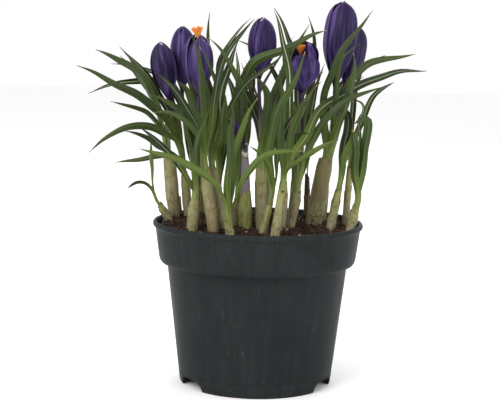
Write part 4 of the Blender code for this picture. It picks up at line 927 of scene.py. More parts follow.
def tepal_finish(look):
    """Violet tepal with fine and broad lighter streaks, a dark rib and a pale flame below."""
    made = Finish("tepal_finish", 0.46, subsurface=0.05, gloss=0.15)
    along, across, tone, inside = made.attributes("along", "across", "tone", "inside")
    fine = made.streaks((across, 17.0), (along, 2.6), made.times(tone, 30.0), 4.0, 0.6)
    wide = made.streaks((across, 2.4), (along, 1.1), made.times(tone, 17.0))
    made.undercoat(made.ramp(tone, 0.0, 1.0), look.tepal_dark, look.tepal_mid)
    made.coat(made.ramp(fine, 0.44, 0.74, 0.0, 0.50), look.tepal_light)
    made.coat(made.ramp(wide, 0.46, 0.70, 0.0, 0.75), look.tepal_light)
    made.coat(made.ramp(fine, 0.22, 0.42, 0.50, 0.0), look.tepal_dark)
    distance = made.math("ABSOLUTE", across)
    rib = made.times(made.ramp(distance, 0.03, 0.16, 0.55, 0.0), made.ramp(along, 0.10, 0.35))
    made.coat(rib, scaled(look.tepal_dark, 0.75))
    flame = made.times(made.ramp(distance, 0.10, 0.60, 0.6, 0.0),
                       made.times(made.ramp(along, 0.06, 0.18),
                                  made.ramp(along, 0.22, 0.50, 1.0, 0.0)))
    made.coat(made.times(flame, made.ramp(fine, 0.40, 0.60)), scaled(look.tepal_light, 1.5))
    made.coat(made.times(made.ramp(distance, 0.80, 1.0), made.ramp(along, 0.35, 0.70, 0.05, 0.35)),
              look.tepal_light)
    made.coat(made.times(inside, 0.35), look.tepal_light)
    made.coat(made.ramp(along, 0.0, 0.22, 0.90, 0.0), (0.016, 0.004, 0.030))
    return made.done(fine, 0.00012, 0.5)


def tube_finish(look):
    """Slender tube: green-white below, violet above."""
    made = Finish("tube_finish", 0.45, subsurface=0.05, gloss=0.3)
    along, = made.attributes("along")
    streak = made.noise(made.place((500.0, 500.0, 40.0)), 1.0, 3.0)
    made.undercoat(made.ramp(along, 0.20, 0.80), (0.20, 0.17, 0.17), (0.022, 0.006, 0.036))
    made.coat(made.ramp(along, 0.0, 0.35, 0.8, 0.0), (0.34, 0.36, 0.20))
    made.coat(made.ramp(streak, 0.45, 0.75, 0.0, 0.25), look.tepal_mid)
    return made.done(streak, 0.0002, 0.4)


def spathe_finish():
    """Thin ribbed paper, greener at its foot and brown at its torn edge."""
    made = Finish("spathe_finish", 0.55, sheen=0.2, subsurface=0.10)
    along, turn, tone, edge = made.attributes("along", "turn", "tone", "edge")
    ribs = made.streaks((turn, 26.0), (along, 1.1), tone)
    made.undercoat(made.ramp(ribs, 0.35, 0.70), (0.36, 0.35, 0.27), (0.62, 0.61, 0.52))
    made.coat(made.ramp(along, 0.0, 0.7, 0.45, 0.0), (0.34, 0.38, 0.17))
    made.coat(made.times(edge, 0.7), (0.30, 0.19, 0.11))
    return made.done(ribs, 0.0004, 0.6)


def stigma_finish(look):
    """Orange stigma, paler at its grainy frills: painted highlights on the grain and at the frill
    tips.
    """
    made = Finish("stigma_finish", 0.62, sheen=0.2, subsurface=0.12)
    along, = made.attributes("along")
    grain = made.noise(made.place(), 1500.0, 3.0)
    made.undercoat(made.ramp(along, 0.10, 0.70), (0.45, 0.21, 0.02), look.stigma_colour)
    # Painted highlights: lighter orange specks over the grain and a paler band at the frills' tips.
    made.coat(made.ramp(grain, 0.45, 0.75, 0.0, 0.5), (0.74, 0.27, 0.012))
    made.coat(made.ramp(along, 0.92, 1.0, 0.0, 0.40), (0.80, 0.36, 0.03))
    return made.done(grain, 0.0003, 0.6)


# ---- geometry node trees -------------------------------------------------------------------

def find_socket(sockets, key):
    """The socket with this identifier or, failing that, with this name."""
    return next((item for item in sockets if item.identifier == key), None) or sockets[key]


class Tree:
    """A modifier's node tree under construction, with the named inputs."""

    def __init__(self, name, inputs):
        self.tree = bpy.data.node_groups.new(name, "GeometryNodeTree")
        face = self.tree.interface
        face.new_socket("Geometry", in_out="INPUT", socket_type="NodeSocketGeometry")
        for label, kind, value in inputs:
            entry = face.new_socket(label, in_out="INPUT", socket_type="NodeSocket" + kind)
            if value is not None:
                entry.default_value = value
        face.new_socket("Geometry", in_out="OUTPUT", socket_type="NodeSocketGeometry")
        self.given = self.tree.nodes.new("NodeGroupInput").outputs

    def add(self, kind, output, inputs, **settings):
        """Add a node, link or set its inputs, and give the named one of its outputs."""
        node = self.tree.nodes.new(kind)
        for key, value in settings.items():
            setattr(node, key, value)
        for key, value in inputs.items():
            entry = find_socket(node.inputs, key)
            if isinstance(value, bpy.types.NodeSocket):
                self.tree.links.new(value, entry)
            else:
                entry.default_value = value
        return find_socket(node.outputs, output)

    def done(self, geometry):
        """Realize the instances, set the material and join the tree's output."""
        real = self.add("GeometryNodeRealizeInstances", "Geometry", {"Geometry": geometry})
        dressed = self.add("GeometryNodeSetMaterial", "Geometry",
                           {"Geometry": real, "Material": self.given["Material"]})
        leave = self.tree.nodes.new("NodeGroupOutput")
        self.tree.links.new(dressed, leave.inputs["Geometry"])
        return self.tree


def sweep_tree():
    """Sweeps a closed section along every line, turned and scaled by the lines' attributes."""
    made = Tree("Sweep along lines", (("Section", "Object", None), ("Material", "Material", None),
                                      ("Scale", "Float", 1.0)))
    given = made.given
    curve = made.add("GeometryNodeMeshToCurve", "Curve", {"Mesh": given["Geometry"]})
    side = made.add("GeometryNodeInputNamedAttribute", "Attribute", {"Name": "side"},
                    data_type="FLOAT_VECTOR")
    turned_line = made.add("GeometryNodeSetCurveNormal", "Curve",
                           {"Curve": curve, "Normal": side}, mode="FREE")
    reach = made.add("GeometryNodeInputNamedAttribute", "Attribute", {"Name": "reach"},
                     data_type="FLOAT")
    scale = made.add("ShaderNodeMath", "Value", {"Value": reach, "Value_001": given["Scale"]},
                     operation="MULTIPLY")
    section = made.add("GeometryNodeObjectInfo", "Geometry", {"Object": given["Section"]})
    profile = made.add("GeometryNodeMeshToCurve", "Curve", {"Mesh": section})
    return made.done(made.add("GeometryNodeCurveToMesh", "Mesh", {
        "Curve": turned_line, "Profile Curve": profile, "Scale": scale, "Fill Caps": True}))


TONE_SEED = 5


def scatter_tree():
    """Scatters small solids over a surface, each turned, sized and toned at random."""
    made = Tree("Scatter crumbs", (
        ("Crumb", "Object", None), ("Material", "Material", None), ("Density", "Float", 1.0),
        ("Smallest", "Float", 0.5), ("Largest", "Float", 1.5), ("Seed", "Int", 1)))
    given = made.given
    spread = made.add("GeometryNodeDistributePointsOnFaces", "Points", {
        "Mesh": given["Geometry"], "Density": given["Density"], "Seed": given["Seed"]})
    size = made.add("FunctionNodeRandomValue", "Value_001", {
        "Min_001": given["Smallest"], "Max_001": given["Largest"], "Seed": given["Seed"]},
        data_type="FLOAT")
    turn = made.add("FunctionNodeRandomValue", "Value", {
        "Max": (math.tau, math.tau, math.tau), "Seed": given["Seed"]}, data_type="FLOAT_VECTOR")
    crumb = made.add("GeometryNodeObjectInfo", "Geometry", {"Object": given["Crumb"]})
    placed = made.add("GeometryNodeInstanceOnPoints", "Instances", {
        "Points": spread, "Instance": crumb, "Rotation": turn, "Scale": size})
    tone = made.add("FunctionNodeRandomValue", "Value_001", {"Seed": TONE_SEED},
                    data_type="FLOAT")
    return made.done(made.add("GeometryNodeStoreNamedAttribute", "Geometry", {
        "Geometry": placed, "Name": "tone", "Value": tone}, data_type="FLOAT",
        domain="INSTANCE"))


def apply_tree(item, tree, material, settings):
    """Run a tree over an object with its inputs set, and keep the result as a plain mesh."""
    step = item.modifiers.new("build", "NODES")
    step.node_group = tree
    sockets = {s.name: s.identifier for s in tree.interface.items_tree
               if s.item_type == "SOCKET" and s.in_out == "INPUT"}
    for label, value in {"Material": material, **settings}.items():
        step[sockets[label]] = value
    keep_result(item, step, SWEPT_SHARP_DEG)
    if not len(item.data.polygons):
        raise RuntimeError(f"{item.name}: its node tree made nothing")


def keep_result(item, step, sharp_deg):
    """Turn an object and its one modifier into a plain mesh."""
    graph = bpy.context.evaluated_depsgraph_get()
    mesh = bpy.data.meshes.new_from_object(item.evaluated_get(graph))
    item.modifiers.remove(step)
    item.data = mesh
    smoothed(mesh, sharp_deg)


def helper_outline(name, points, floats=None):
    """A closed outline in the XY plane, as a helper for the sweep."""
    mesh = bpy.data.meshes.new(name)
    n = len(points)
    mesh.from_pydata([(x, y, 0.0) for x, y in points], [(i, (i + 1) % n) for i in range(n)], [])
    add_floats(mesh, floats)
    return new_object(name, mesh)


def path_mesh(name, lines, sides, reaches, floats):
    """Open lines in millimetres as edges, with the attributes that the sweep reads."""
    edges, first = [], 0
    for line in lines:
        edges += [(first + i, first + i + 1) for i in range(len(line) - 1)]
        first += len(line)
    mesh = raw_mesh(name, np.vstack(lines), edges, [])
    layer = mesh.attributes.new("side", "FLOAT_VECTOR", "POINT")
    layer.data.foreach_set("vector", np.vstack(sides).astype(np.float32).ravel())
    add_floats(mesh, {"reach": np.concatenate(reaches) * MM,
                      **{key: np.concatenate(values) for key, values in floats.items()}})
    return new_object(name, mesh)


# ---- pot -----------------------------------------------------------------------------------

POT_SIDES = 128
DRAIN_SIDES = 20
NOTCH_REACH = 6.0         # how far a cutter runs to each side of the foot ring


def pot_profile():
    """Closed section of the pot from the floor's underside round the lip to the floor's top."""
    foot_inner, body_slope = FOOT_RADIUS - FOOT_WIDTH, (STEP_RADIUS - FOOT_RADIUS) / STEP_Z
    band_height = POT_HEIGHT - LIP_HEIGHT - BAND_LOW_Z

    def body(z, inset=0.0):
        return (FOOT_RADIUS + body_slope * z - inset, z)

    outer = [(foot_inner - 0.25, FLOOR_UNDERSIDE), (foot_inner, FLOOR_UNDERSIDE - 0.5),
             (foot_inner + 0.1, 0.4), (foot_inner + 0.4, 0.0), (FOOT_RADIUS - 0.5, 0.0),
             (FOOT_RADIUS - 0.1, 0.35)]
    outer += [body(z) for z in (2.0, 4.0, 6.6)] + [body(7.0, 0.22), body(7.5, 0.05)]
    outer += [body(z) for z in (10.0, 20.0, 30.0, 40.0, 50.0, 60.0, 64.5)]
    outer += [(STEP_RADIUS, STEP_Z - 0.6), (STEP_RADIUS + 0.4, STEP_Z - 0.1)]
    outer += [(BAND_LOW_RADIUS + out, STEP_Z + up)
              for out, up in ((-2.2, 0.35), (-1.3, 0.8), (-0.6, 1.8))]
    outer += [(BAND_LOW_RADIUS - 0.1, BAND_LOW_Z - 0.6), (BAND_LOW_RADIUS + 0.05,
                                                          BAND_LOW_Z + 0.4)]
    outer += [(BAND_LOW_RADIUS + (BAND_TOP_RADIUS - BAND_LOW_RADIUS) * share,
               BAND_LOW_Z + band_height * share) for share in (0.25, 0.5, 0.75, 0.97)]
    outer.append((BAND_TOP_RADIUS + 0.2, POT_HEIGHT - LIP_HEIGHT))
    outer += [(LIP_RADIUS - inset, POT_HEIGHT - below)
              for inset, below in ((0.55, 3.0), (0.12, 2.5), (0.0, 1.7), (0.15, 0.8), (0.6, 0.2),
                                   (1.2, 0.0), (1.9, 0.15), (2.4, 0.7))]
    inner = [(pot_inner_radius(z), z) for z in
             (POT_HEIGHT - 3.0, 84.0, 77.0, BAND_LOW_Z, 71.1, STEP_Z, 50.0, 30.0, 12.0)]
    inner += [(pot_inner_radius(FLOOR_TOP), FLOOR_TOP + 1.5),
              (pot_inner_radius(FLOOR_TOP) - 1.5, FLOOR_TOP)]
    return outer + inner


def round_the_axis(radius, angle, z):
    """A point at an angle turned from -Y towards +X."""
    return (radius * math.sin(angle), -radius * math.cos(angle), z)


def turned(name, profile, sides, material):
    """A closed body turned from a section whose ends are joined across the axis."""
    points = [(0.0, 0.0, profile[0][1]), (0.0, 0.0, profile[-1][1])]
    points += [round_the_axis(radius, math.tau * k / sides, z)
               for radius, z in profile for k in range(sides)]
    return mesh_piece(name, points, fan_faces(len(profile), sides, 0, 1, 2), material,
                      sharp_deg=POT_SHARP_DEG)


def notch_block(angle, material):
    """Block that cuts one water notch, with rounded shoulders."""
    out = np.array((math.sin(angle), -math.cos(angle), 0.0))
    side = np.array((math.cos(angle), math.sin(angle), 0.0))
    low, top = NOTCH_LOW_WIDTH / 2, NOTCH_TOP_WIDTH / 2
    half = [(low, -1.0), (low - 0.6, 1.2), (low - 1.5, 3.2), (low - 2.6, 4.7), (top, 5.5)]
    section = [(-x, z) for x, z in half] + [(x, z) for x, z in reversed(half)]
    points = [out * reach + side * a + np.array((0.0, 0.0, b))
              for reach in (FOOT_RADIUS - NOTCH_REACH, FOOT_RADIUS + NOTCH_REACH)
              for a, b in section]
    n = len(section)
    faces = [tuple(range(n)), tuple(reversed(range(n, 2 * n)))]
    faces += [((i + 1) % n, i, n + i, n + (i + 1) % n) for i in range(n)]
    return mesh_piece("notch_block", points, faces, material)


def drain_pin(x, y, material):
    """Round pin that cuts one drain hole."""
    points = [(x + DRAIN_HOLE_RADIUS * math.cos(math.tau * k / DRAIN_SIDES),
               y + DRAIN_HOLE_RADIUS * math.sin(math.tau * k / DRAIN_SIDES), z)
              for z in (FLOOR_UNDERSIDE - 2.0, FLOOR_TOP + 2.0) for k in range(DRAIN_SIDES)]
    return mesh_piece("drain_pin", points, tube_faces(2, DRAIN_SIDES), material)


def build_pot(look):
    material = pot_finish(look)
    pot = turned("pot_shell", pot_profile(), POT_SIDES, material)
    cutters = []
    for k in range(NOTCH_COUNT):
        angle = math.radians(NOTCH_FIRST_DEG) + math.tau * k / NOTCH_COUNT
        cutters.append(notch_block(angle, material))
        for turn in (-DRAIN_TURN, DRAIN_TURN):
            x, y, _ = round_the_axis(DRAIN_CIRCLE_RADIUS, angle + turn, 0.0)
            cutters.append(drain_pin(x, y, material))
    group = bpy.data.collections.new("pot_cutters")
    bpy.context.scene.collection.children.link(group)
    for cutter in cutters:
        bpy.context.scene.collection.objects.unlink(cutter)
        group.objects.link(cutter)
    step = pot.modifiers.new("cut", "BOOLEAN")
    step.operand_type = "COLLECTION"
    step.collection = group
    step.operation = "DIFFERENCE"
    step.solver = "EXACT"
    keep_result(pot, step, POT_SHARP_DEG)
    remove_helpers(*cutters)
    bpy.data.collections.remove(group)
    settle(pot, "pot_plastic", "pot")


# ---- soil ----------------------------------------------------------------------------------

SOIL_RINGS = 44
SOIL_SIDES = 120
SOIL_SHOULDER_Z = 84.0    # from here up the bed follows the surface
CRUMBS = 1.0              # crumbs of each size, as shares of the set density
GRITS = 1.6
FIBRES = 0.35


def crumbled(x, y, strength):
    """Soil surface height with lumps and hollows."""
    z = soil_height(x, y)
    for height, close, layer in ((1.3, 0.16, 3.0), (0.9, 0.45, 9.0), (0.5, 1.1, 17.0)):
        z += strength * height * noise.noise(Vector((x * close, y * close, layer)))
    return z


def soil_surface(look):
    """Rings of points over the soil, from the middle to the pot's wall."""
    rim = pot_inner_radius(SOIL_RIM_Z) - SOIL_SIDE_GAP
    points = []
    for r in range(1, SOIL_RINGS + 1):
        radius = rim * (r / SOIL_RINGS) ** 0.8
        drop = 1.2 * max(0.0, r / SOIL_RINGS - 0.9) / 0.1
        for k in range(SOIL_SIDES):
            x, y, _ = round_the_axis(radius, math.tau * k / SOIL_SIDES, 0.0)
            points.append((x, y, crumbled(x, y, look.soil_roughness) - drop))
    return points


def build_soil(look):
    material = soil_finish(look)
    top = soil_surface(look)
    points = []
    for level, lift, inset in ((FLOOR_TOP, GAP, 1.6), (STEP_Z, 0.0, 0.0),
                               (SOIL_SHOULDER_Z, 0.0, 0.0)):
        radius = pot_inner_radius(level) - SOIL_SIDE_GAP - inset
        points += [round_the_axis(radius, math.tau * k / SOIL_SIDES, level + lift)
                   for k in range(SOIL_SIDES)]
    for r in reversed(range(SOIL_RINGS)):
        points += top[r * SOIL_SIDES:(r + 1) * SOIL_SIDES]
    n = len(points)
    points += [(0.0, 0.0, FLOOR_TOP + GAP), (0.0, 0.0, crumbled(0.0, 0.0, look.soil_roughness))]
    bed = mesh_piece("soil_bed", points, fan_faces(3 + SOIL_RINGS, SOIL_SIDES, n, n + 1),
                     material, {"tone": np.full(len(points), 0.2)}, SOFT_SHARP_DEG)
    settle(bed, "peat_soil", "soil")

    tree = scatter_tree()
    ground = top + [(0.0, 0.0, soil_height(0.0, 0.0))]
    flat = grid_faces(0, SOIL_RINGS, SOIL_SIDES, True)
    flat += [(len(ground) - 1, (k + 1) % SOIL_SIDES, k) for k in range(SOIL_SIDES)]
    rng = random.Random(look.soil_seed)
    for name, shape, share, sizes in (("soil_crumbs", crumb_shape(rng), CRUMBS, (0.5, 1.5)),
                                      ("soil_grit", crumb_shape(rng), GRITS, (0.22, 0.6)),
                                      ("soil_fibres", fibre_shape(rng), FIBRES, (0.5, 1.5))):
        item = mesh_piece(name, ground, flat, material)
        if item.data.polygons[0].normal.z < 0:
            item.data.flip_normals()
        apply_tree(item, tree, material, {
            "Crumb": shape, "Density": look.crumb_density * share / MM ** 2,
            "Smallest": sizes[0], "Largest": sizes[1], "Seed": look.soil_seed})
        remove_helpers(shape)
        settle(item, "peat_soil")


def crumb_shape(rng):
    """An irregular lump of peat about 2 mm across."""
    work = bmesh.new()
    bmesh.ops.create_icosphere(work, subdivisions=1, radius=1.0 * MM)
    for vert in work.verts:
        vert.co *= rng.uniform(0.6, 1.25)
        vert.co.z *= 0.7
    mesh = bpy.data.meshes.new("crumb")
    work.to_mesh(mesh)
    work.free()
    return new_object("crumb", mesh)


def fibre_shape(rng):
    """A bent root fibre about 7 mm long."""
    points, rings, sides = [], 6, 4
    across, up = np.array((0.0, 1.0, 0.0)), np.array((0.0, 0.0, 1.0))
    for i in range(rings):
        t = i / (rings - 1) - 0.5
        centre = np.array((7.0 * t, 2.4 * t * t + rng.uniform(-0.3, 0.3), rng.uniform(-0.3, 0.5)))
        points += ring(centre, 0.16 * (1.0 - abs(t)), across, up, sides)
    return new_object("fibre", raw_mesh("fibre", points, [], tube_faces(rings, sides)))


# ---- shoots: corms and sheaths ---------------------------------------------------------------

# How a shoot's sheaths look: brown, green, freshness and paleness (low values also paint shade on
# the shoots that stand in shadow), and how far its collars reach.
SHEATH_LOOKS = {
    "A": (0.10, 0.30, 0.7, (0.72,)), "B": (0.12, 0.05, 0.7, (0.86, 0.34)),
    "C": (0.72, 0.0, 0.3, (0.60,)), "D": (0.22, 0.15, 0.5, (0.66,)),
    "E": (0.05, 0.30, 0.5, (0.80, 0.20)), "F": (0.10, 0.20, 0.5, (0.80,)),
    "G": (0.32, 0.10, 0.5, (0.84, 0.40)), "H": (0.10, 0.20, 0.6, (0.74,)),
    "I": (0.0, 0.60, 1.0, (0.70,)), "J": (0.15, 0.15, 0.5, (0.70,)),
    "K": (0.02, 0.0, 0.4, (0.52,)), "L": (0.12, 0.10, 0.5, (0.86, 0.36)),
    "M": (0.05, 0.40, 0.8, (0.62,)), "N": (0.15, 0.25, 0.9, (0.66, 0.28)),
    "O": (0.24, 0.20, 0.5, (0.75,)), "Q": (0.10, 0.20, 0.5, (0.82,)),
    "P": (0.20, 0.20, 0.5, (0.60,)), "X": (1.0, 0.0, 0.0, (0.60,)),
    "R": (0.50, 0.05, 0.6, (0.52, 0.20)), "S": (0.05, 0.20, 1.0, (0.78,)),
    "T": (0.10, 0.30, 0.6, (0.70,)), "U": (0.03, 0.25, 1.0, (0.72,)),
    "V1": (0.10, 0.20, 0.5, (0.70,)), "V2": (0.10, 0.20, 0.5, (0.70,)),
    "V3": (0.15, 0.20, 0.5, (0.70,)), "V4": (0.15, 0.20, 0.5, (0.70,)),
    "V5": (0.10, 0.25, 0.5, (0.70,)),
}


def fine_line(path, radii, step):
    """A path and its radii again at short equal steps, its corners eased."""
    lengths = arc_lengths(path)
    count = max(6, int(lengths[-1] / step))
    wanted = np.linspace(0.0, lengths[-1], count + 1)
    line = np.stack([np.interp(wanted, lengths, path[:, k]) for k in range(3)], axis=1)
    return rounded(line, 3), np.interp(wanted, lengths, radii)


def cuff(line, radii, wall, depth, jag, slant, flare, sides, rng, marks):
    """A thin papery tube: outer wall, slanting torn rim, inner wall down to a depth, its floor."""
    tangents, firsts, seconds = travelling_axes(line)
    lengths = arc_lengths(line)
    share = lengths / lengths[-1]
    tears = np.array([rng.uniform(-1.0, 0.2) for _ in range(sides)])
    tears = jag * (0.6 * tears + 0.4 * np.roll(tears, 1))
    open_side = rng.uniform(0.0, math.tau)
    tears += slant * np.array([0.5 * math.cos(math.tau * k / sides - open_side) - 0.5
                               for k in range(sides)])
    seed, seam = rng.uniform(0.0, 90.0), rng.random()
    inside = line[-1] - tangents[-1] * depth
    rows = [(line[i], radii[i], i, share[i]) for i in range(len(line))]
    last = len(line) - 1
    rows += [(line[last], radii[last] - wall, last, 1.0),
             (inside, radii[last] - wall - 0.1, last, 1.0 - depth / lengths[-1])]
    points, along, turn, edge = [], [], [], []
    for row, (centre, radius, i, s) in enumerate(rows):
        reach = max(0.0, 1.0 - (lengths[-1] - lengths[i]) / (6.0 + 2.0 * slant))
        reach = reach if row <= last + 1 else 0.0
        for k in range(sides):
            angle = math.tau * k / sides
            wrinkle = noise.noise(Vector((math.cos(angle) * 1.6, math.sin(angle) * 1.6,
                                          lengths[i] * 0.10 + seed)))
            r = radius * (1.0 + 0.07 * wrinkle) + flare * reach ** 3
            points.append(centre + tangents[i] * tears[k] * reach
                          + r * (math.cos(angle) * firsts[i] + math.sin(angle) * seconds[i]))
            along.append(s)
            turn.append(abs(2.0 * ((k / sides + seam) % 1.0) - 1.0))
            edge.append(max(0.0, 1.0 - (lengths[-1] - lengths[i]) / 2.6) if row <= last + 1
                        else 0.3)
    n = len(points)
    points += [line[0], inside]
    floats = {"along": along + [0.0, share[-1]], "turn": turn + [0.0, 0.0],
              "edge": edge + [0.0, 0.3]}
    for key, value in marks.items():
        floats[key] = [value] * len(points)
    return points, fan_faces(len(rows), sides, n, n + 1), floats


def shoot_layers(key, look, rng):
    """The sheaths of one shoot, the tall inner one first and the torn lower collars over it."""
    path, radii = sheath_path(key)
    line, radii = fine_line(path, radii, look.sheath_step)
    brown, green, fresh_and_lit, collars = SHEATH_LOOKS[key]
    tone = rng.uniform(0.0, 20.0)
    marks = {"brown": brown, "green": green, "fresh_and_lit": fresh_and_lit, "tone": tone,
             "lilac": 1.0 if key == "K" else 0.0}
    closed = key == "C"
    depth = 1.0 if closed else 5.0
    torn = look.sheath_tear * (1.4 if brown > 0.3 else 0.6)
    top = radii.copy()
    top[-3:] *= (0.85, 0.6, 0.35) if closed else (0.97, 0.91, 0.84)
    slant = 0.2 if closed else rng.uniform(2.0, 3.6)
    parts = [cuff(line, top, 0.2, depth, 0.5 if closed else torn, slant, 0.0, look.sheath_sides,
                  rng, marks)]
    low = next(i for i in range(len(line)) if line[i][2] > soil_height(*line[i][:2]) - 4.0)
    for number, reach in enumerate(collars):
        visible = arc_lengths(line[low:])
        stop = low + int(np.searchsorted(visible, visible[-1] * reach))
        stop = max(stop, low + 5)
        marks = {"brown": 0.02 if key == "R" else min(1.0, brown * 0.7 + 0.10 * number),
                 "green": 1.0 if key == "K" else green * 0.5, "tone": tone + 3.7 * (number + 1),
                 "fresh_and_lit": 1.0 if key == "R" else fresh_and_lit, "lilac": 0.0}
        slant = rng.uniform(3.0, 6.5) if number == 0 else rng.uniform(2.0, 4.0)
        swollen = radii[low:stop + 1] + 0.16 * (number + 1)
        if key == "K":
            swollen += 1.0 * np.sin(math.pi * np.linspace(0.1, 0.95, len(swollen)))
        parts.append(cuff(line[low:stop + 1], swollen, 0.12, slant + 3.0, look.sheath_tear, slant,
                          0.12, look.sheath_sides, rng, marks))
    return parts


def corm_body(centre, rng):
    """A flattened corm in its fibrous tunic."""
    rows, sides = 9, 20
    points = []
    for i in range(rows):
        t = math.pi * (i + 0.5) / rows
        for k in range(sides):
            angle = math.tau * k / sides
            radius = CORM_RADIUS * math.sin(t) ** 0.8 * (1.0 + rng.uniform(-0.03, 0.03))
            points.append((centre[0] + radius * math.cos(angle),
                           centre[1] + radius * math.sin(angle),
                           CORM_Z - CORM_HEIGHT / 2 * math.cos(t)))
    points += [(*centre, CORM_Z - CORM_HEIGHT / 2), (*centre, CORM_Z + CORM_HEIGHT / 2)]
    n = len(points)
    marks = {"along": 0.5, "turn": 0.3, "edge": 0.0, "brown": 0.85, "green": 0.0, "fresh_and_lit": 0.3,
             "tone": 2.0, "lilac": 0.0}
    return points, fan_faces(rows, sides, n - 2, n - 1), {k: [v] * n for k, v in marks.items()}


def build_shoots(look):
    material = sheath_finish(look)
    rng = random.Random(SEEDS["shoots"])
    for name, (centre, shoots) in CORMS.items():
        parts = [corm_body(centre, rng)]
        for key in shoots:
            parts += shoot_layers(key, look, rng)
        points, faces, floats = gather(parts)
        item = mesh_piece("shoots_" + name, points, faces, material, floats, THIN_SHARP_DEG)
        settle(item, "sheath_white", name)


# ---- leaves --------------------------------------------------------------------------------

# The youngest leaves, by shoot and place in the shoot's table, are yellow-green all the way.
YOUNG_LEAVES = {"I": (0, 1, 2), "M": (1,), "N": (1,), "A": (0,), "S": (0,)}


def leaf_section(keel):
    """Outline of a channelled blade in half-widths: x across, y towards its upper face."""
    upper = [(-1.0, 0.26), (-0.62, 0.15), (-0.22, 0.03), (-0.10, -0.04), (0.10, -0.04),
             (0.22, 0.03), (0.62, 0.15), (1.0, 0.26)]
    under = [(1.0, 0.14), (0.62, 0.00), (0.24, -0.12), (0.12, -keel), (-0.12, -keel),
             (-0.24, -0.12), (-0.62, 0.00), (-1.0, 0.14)]
    outline = upper + under
    floats = {"across": [x for x, _ in outline], "upper": [1.0] * len(upper) + [0.0] * len(under)}
    return helper_outline("leaf_section", outline, floats)


# Shoots whose broad leaves have folded over and stay wide to their crumpled tops.
FOLDED = ("S", "U")


def blade_frame(line, plan):
    """Side directions and half-widths of a blade along a fine line."""
    steps = arc_lengths(line)
    heading = plan["heading"]
    across = unit((-math.sin(heading), math.cos(heading), 0.0))
    tangents = np.gradient(line, axis=0)
    sides, halves = [], []
    for i in range(len(line)):
        along = unit(tangents[i])
        across = unit(across - along * np.dot(across, along))
        above = steps[i] - ROOT_SINK - 3.0
        wanted = unit(np.cross(plan["face"], along))
        before = sides[-1] if sides else across
        wanted = wanted if np.dot(wanted, before) >= 0.0 else -wanted
        turned_share = min(1.0, max(0.0, above / TWIST_LENGTH))
        turned_share = turned_share ** 2 * (3.0 - 2.0 * turned_share)
        side = unit(across * (1.0 - turned_share) + wanted * turned_share)
        side = unit(before * 0.6 + side * 0.4) if sides else side
        side = unit(side - along * np.dot(side, along))
        full = plan["width"] / (1.65 if plan["shoot"] in FOLDED else 1.85)
        half = min(full, max(0.72 * SHOOTS[plan["shoot"]][4], plan["root_half"] + 0.8))
        if above > 0.0:
            half += (full - half) * min(1.0, above / 14.0)
        share = steps[i] / steps[-1]
        taper = 0.80 if plan["shoot"] in FOLDED else 0.50
        if share > taper:
            half *= max(0.05, (1.0 - ((share - taper) / (1.0 - taper)) ** 2.2))
        sides.append(side)
        halves.append(max(half, 0.14))
    return np.array(sides), np.array(halves), steps


def build_leaves(look):
    material = leaf_finish(look)
    tree = sweep_tree()
    section = leaf_section(look.leaf_keel)
    plans = plan_leaves()
    lines = relax(plans)
    rng = random.Random(SEEDS["leaves"])
    buried = ROOT_SINK + 3.0
    for key in LEAVES:
        rows = []
        own = [(plan, line) for plan, line in zip(plans, lines) if plan["shoot"] == key]
        for place, (plan, line) in enumerate(own):
            fine = even(spline(line, samples=4), look.leaf_segments)
            sides, halves, steps = blade_frame(fine, plan)
            wave = 0.10 * plan["width"] * np.sin(steps * 0.21 + rng.uniform(0.0, 6.0))
            fine = fine + sides * (wave * np.clip(steps / 40.0, 0.0, 1.0))[:, None]
            along = np.maximum(0.0, steps - buried) / (steps[-1] - buried)
            young = 0.75 if place in YOUNG_LEAVES.get(key, ()) else 0.0
            rows.append((fine, sides, halves, along, np.full(len(fine), rng.random()),
                         np.full(len(fine), young)))
        blades, sides, halves, along, tone, young = zip(*rows)
        item = path_mesh("tuft_" + key.lower(), blades, sides, halves,
                         {"along": along, "tone": tone, "young": young})
        apply_tree(item, tree, material, {"Section": section, "Scale": 1.0})
        settle(item, "leaf_green", "leaves_" + key.lower())
    remove_helpers(section)


# ---- flowers -------------------------------------------------------------------------------

# How a bloom looks: tone from dark to light, how its tepals lap, how far their tips hood, how
# much shorter its front tepals stand, and which way its main tepal faces.
BLOOM_LOOKS = {
    "bloom_1": (0.05, 0.55, 0.0, 0.0, 1.35), "bloom_2": (0.80, 0.50, 0.0, 0.0, 2.40),
    "bloom_3": (0.70, 0.40, 0.1, 0.06, 1.85), "bloom_4": (0.45, 0.55, 0.0, 0.0, 1.95),
    "bloom_5": (0.75, 0.30, 0.8, 0.24, 2.00), "bloom_6": (0.45, 0.55, 0.0, 0.0, 1.65),
    "bloom_7": (0.50, 0.40, 0.3, 0.0, 2.10), "bloom_8": (0.60, 0.10, 0.8, 0.0, 1.60),
}


def rounded_profile(bloom, share):
    """Radius of the finished cup: the same cup, domed over where its tips meet."""
    _, _, _, widest, opened, _, _ = BLOOMS[bloom]
    if share <= 0.56:
        return cup_profile(bloom, share)
    t = (share - 0.56) / 0.44
    opened *= 0.5 if opened < 0.5 else 1.0
    fullness = 2.3 + 0.3 * max(0.0, widest - 7.4)
    domed = widest * max(0.05, (1.0 - t ** fullness) ** 0.6)
    return domed * (1.0 - opened) + widest * (1.0 + 0.10 * t) * opened


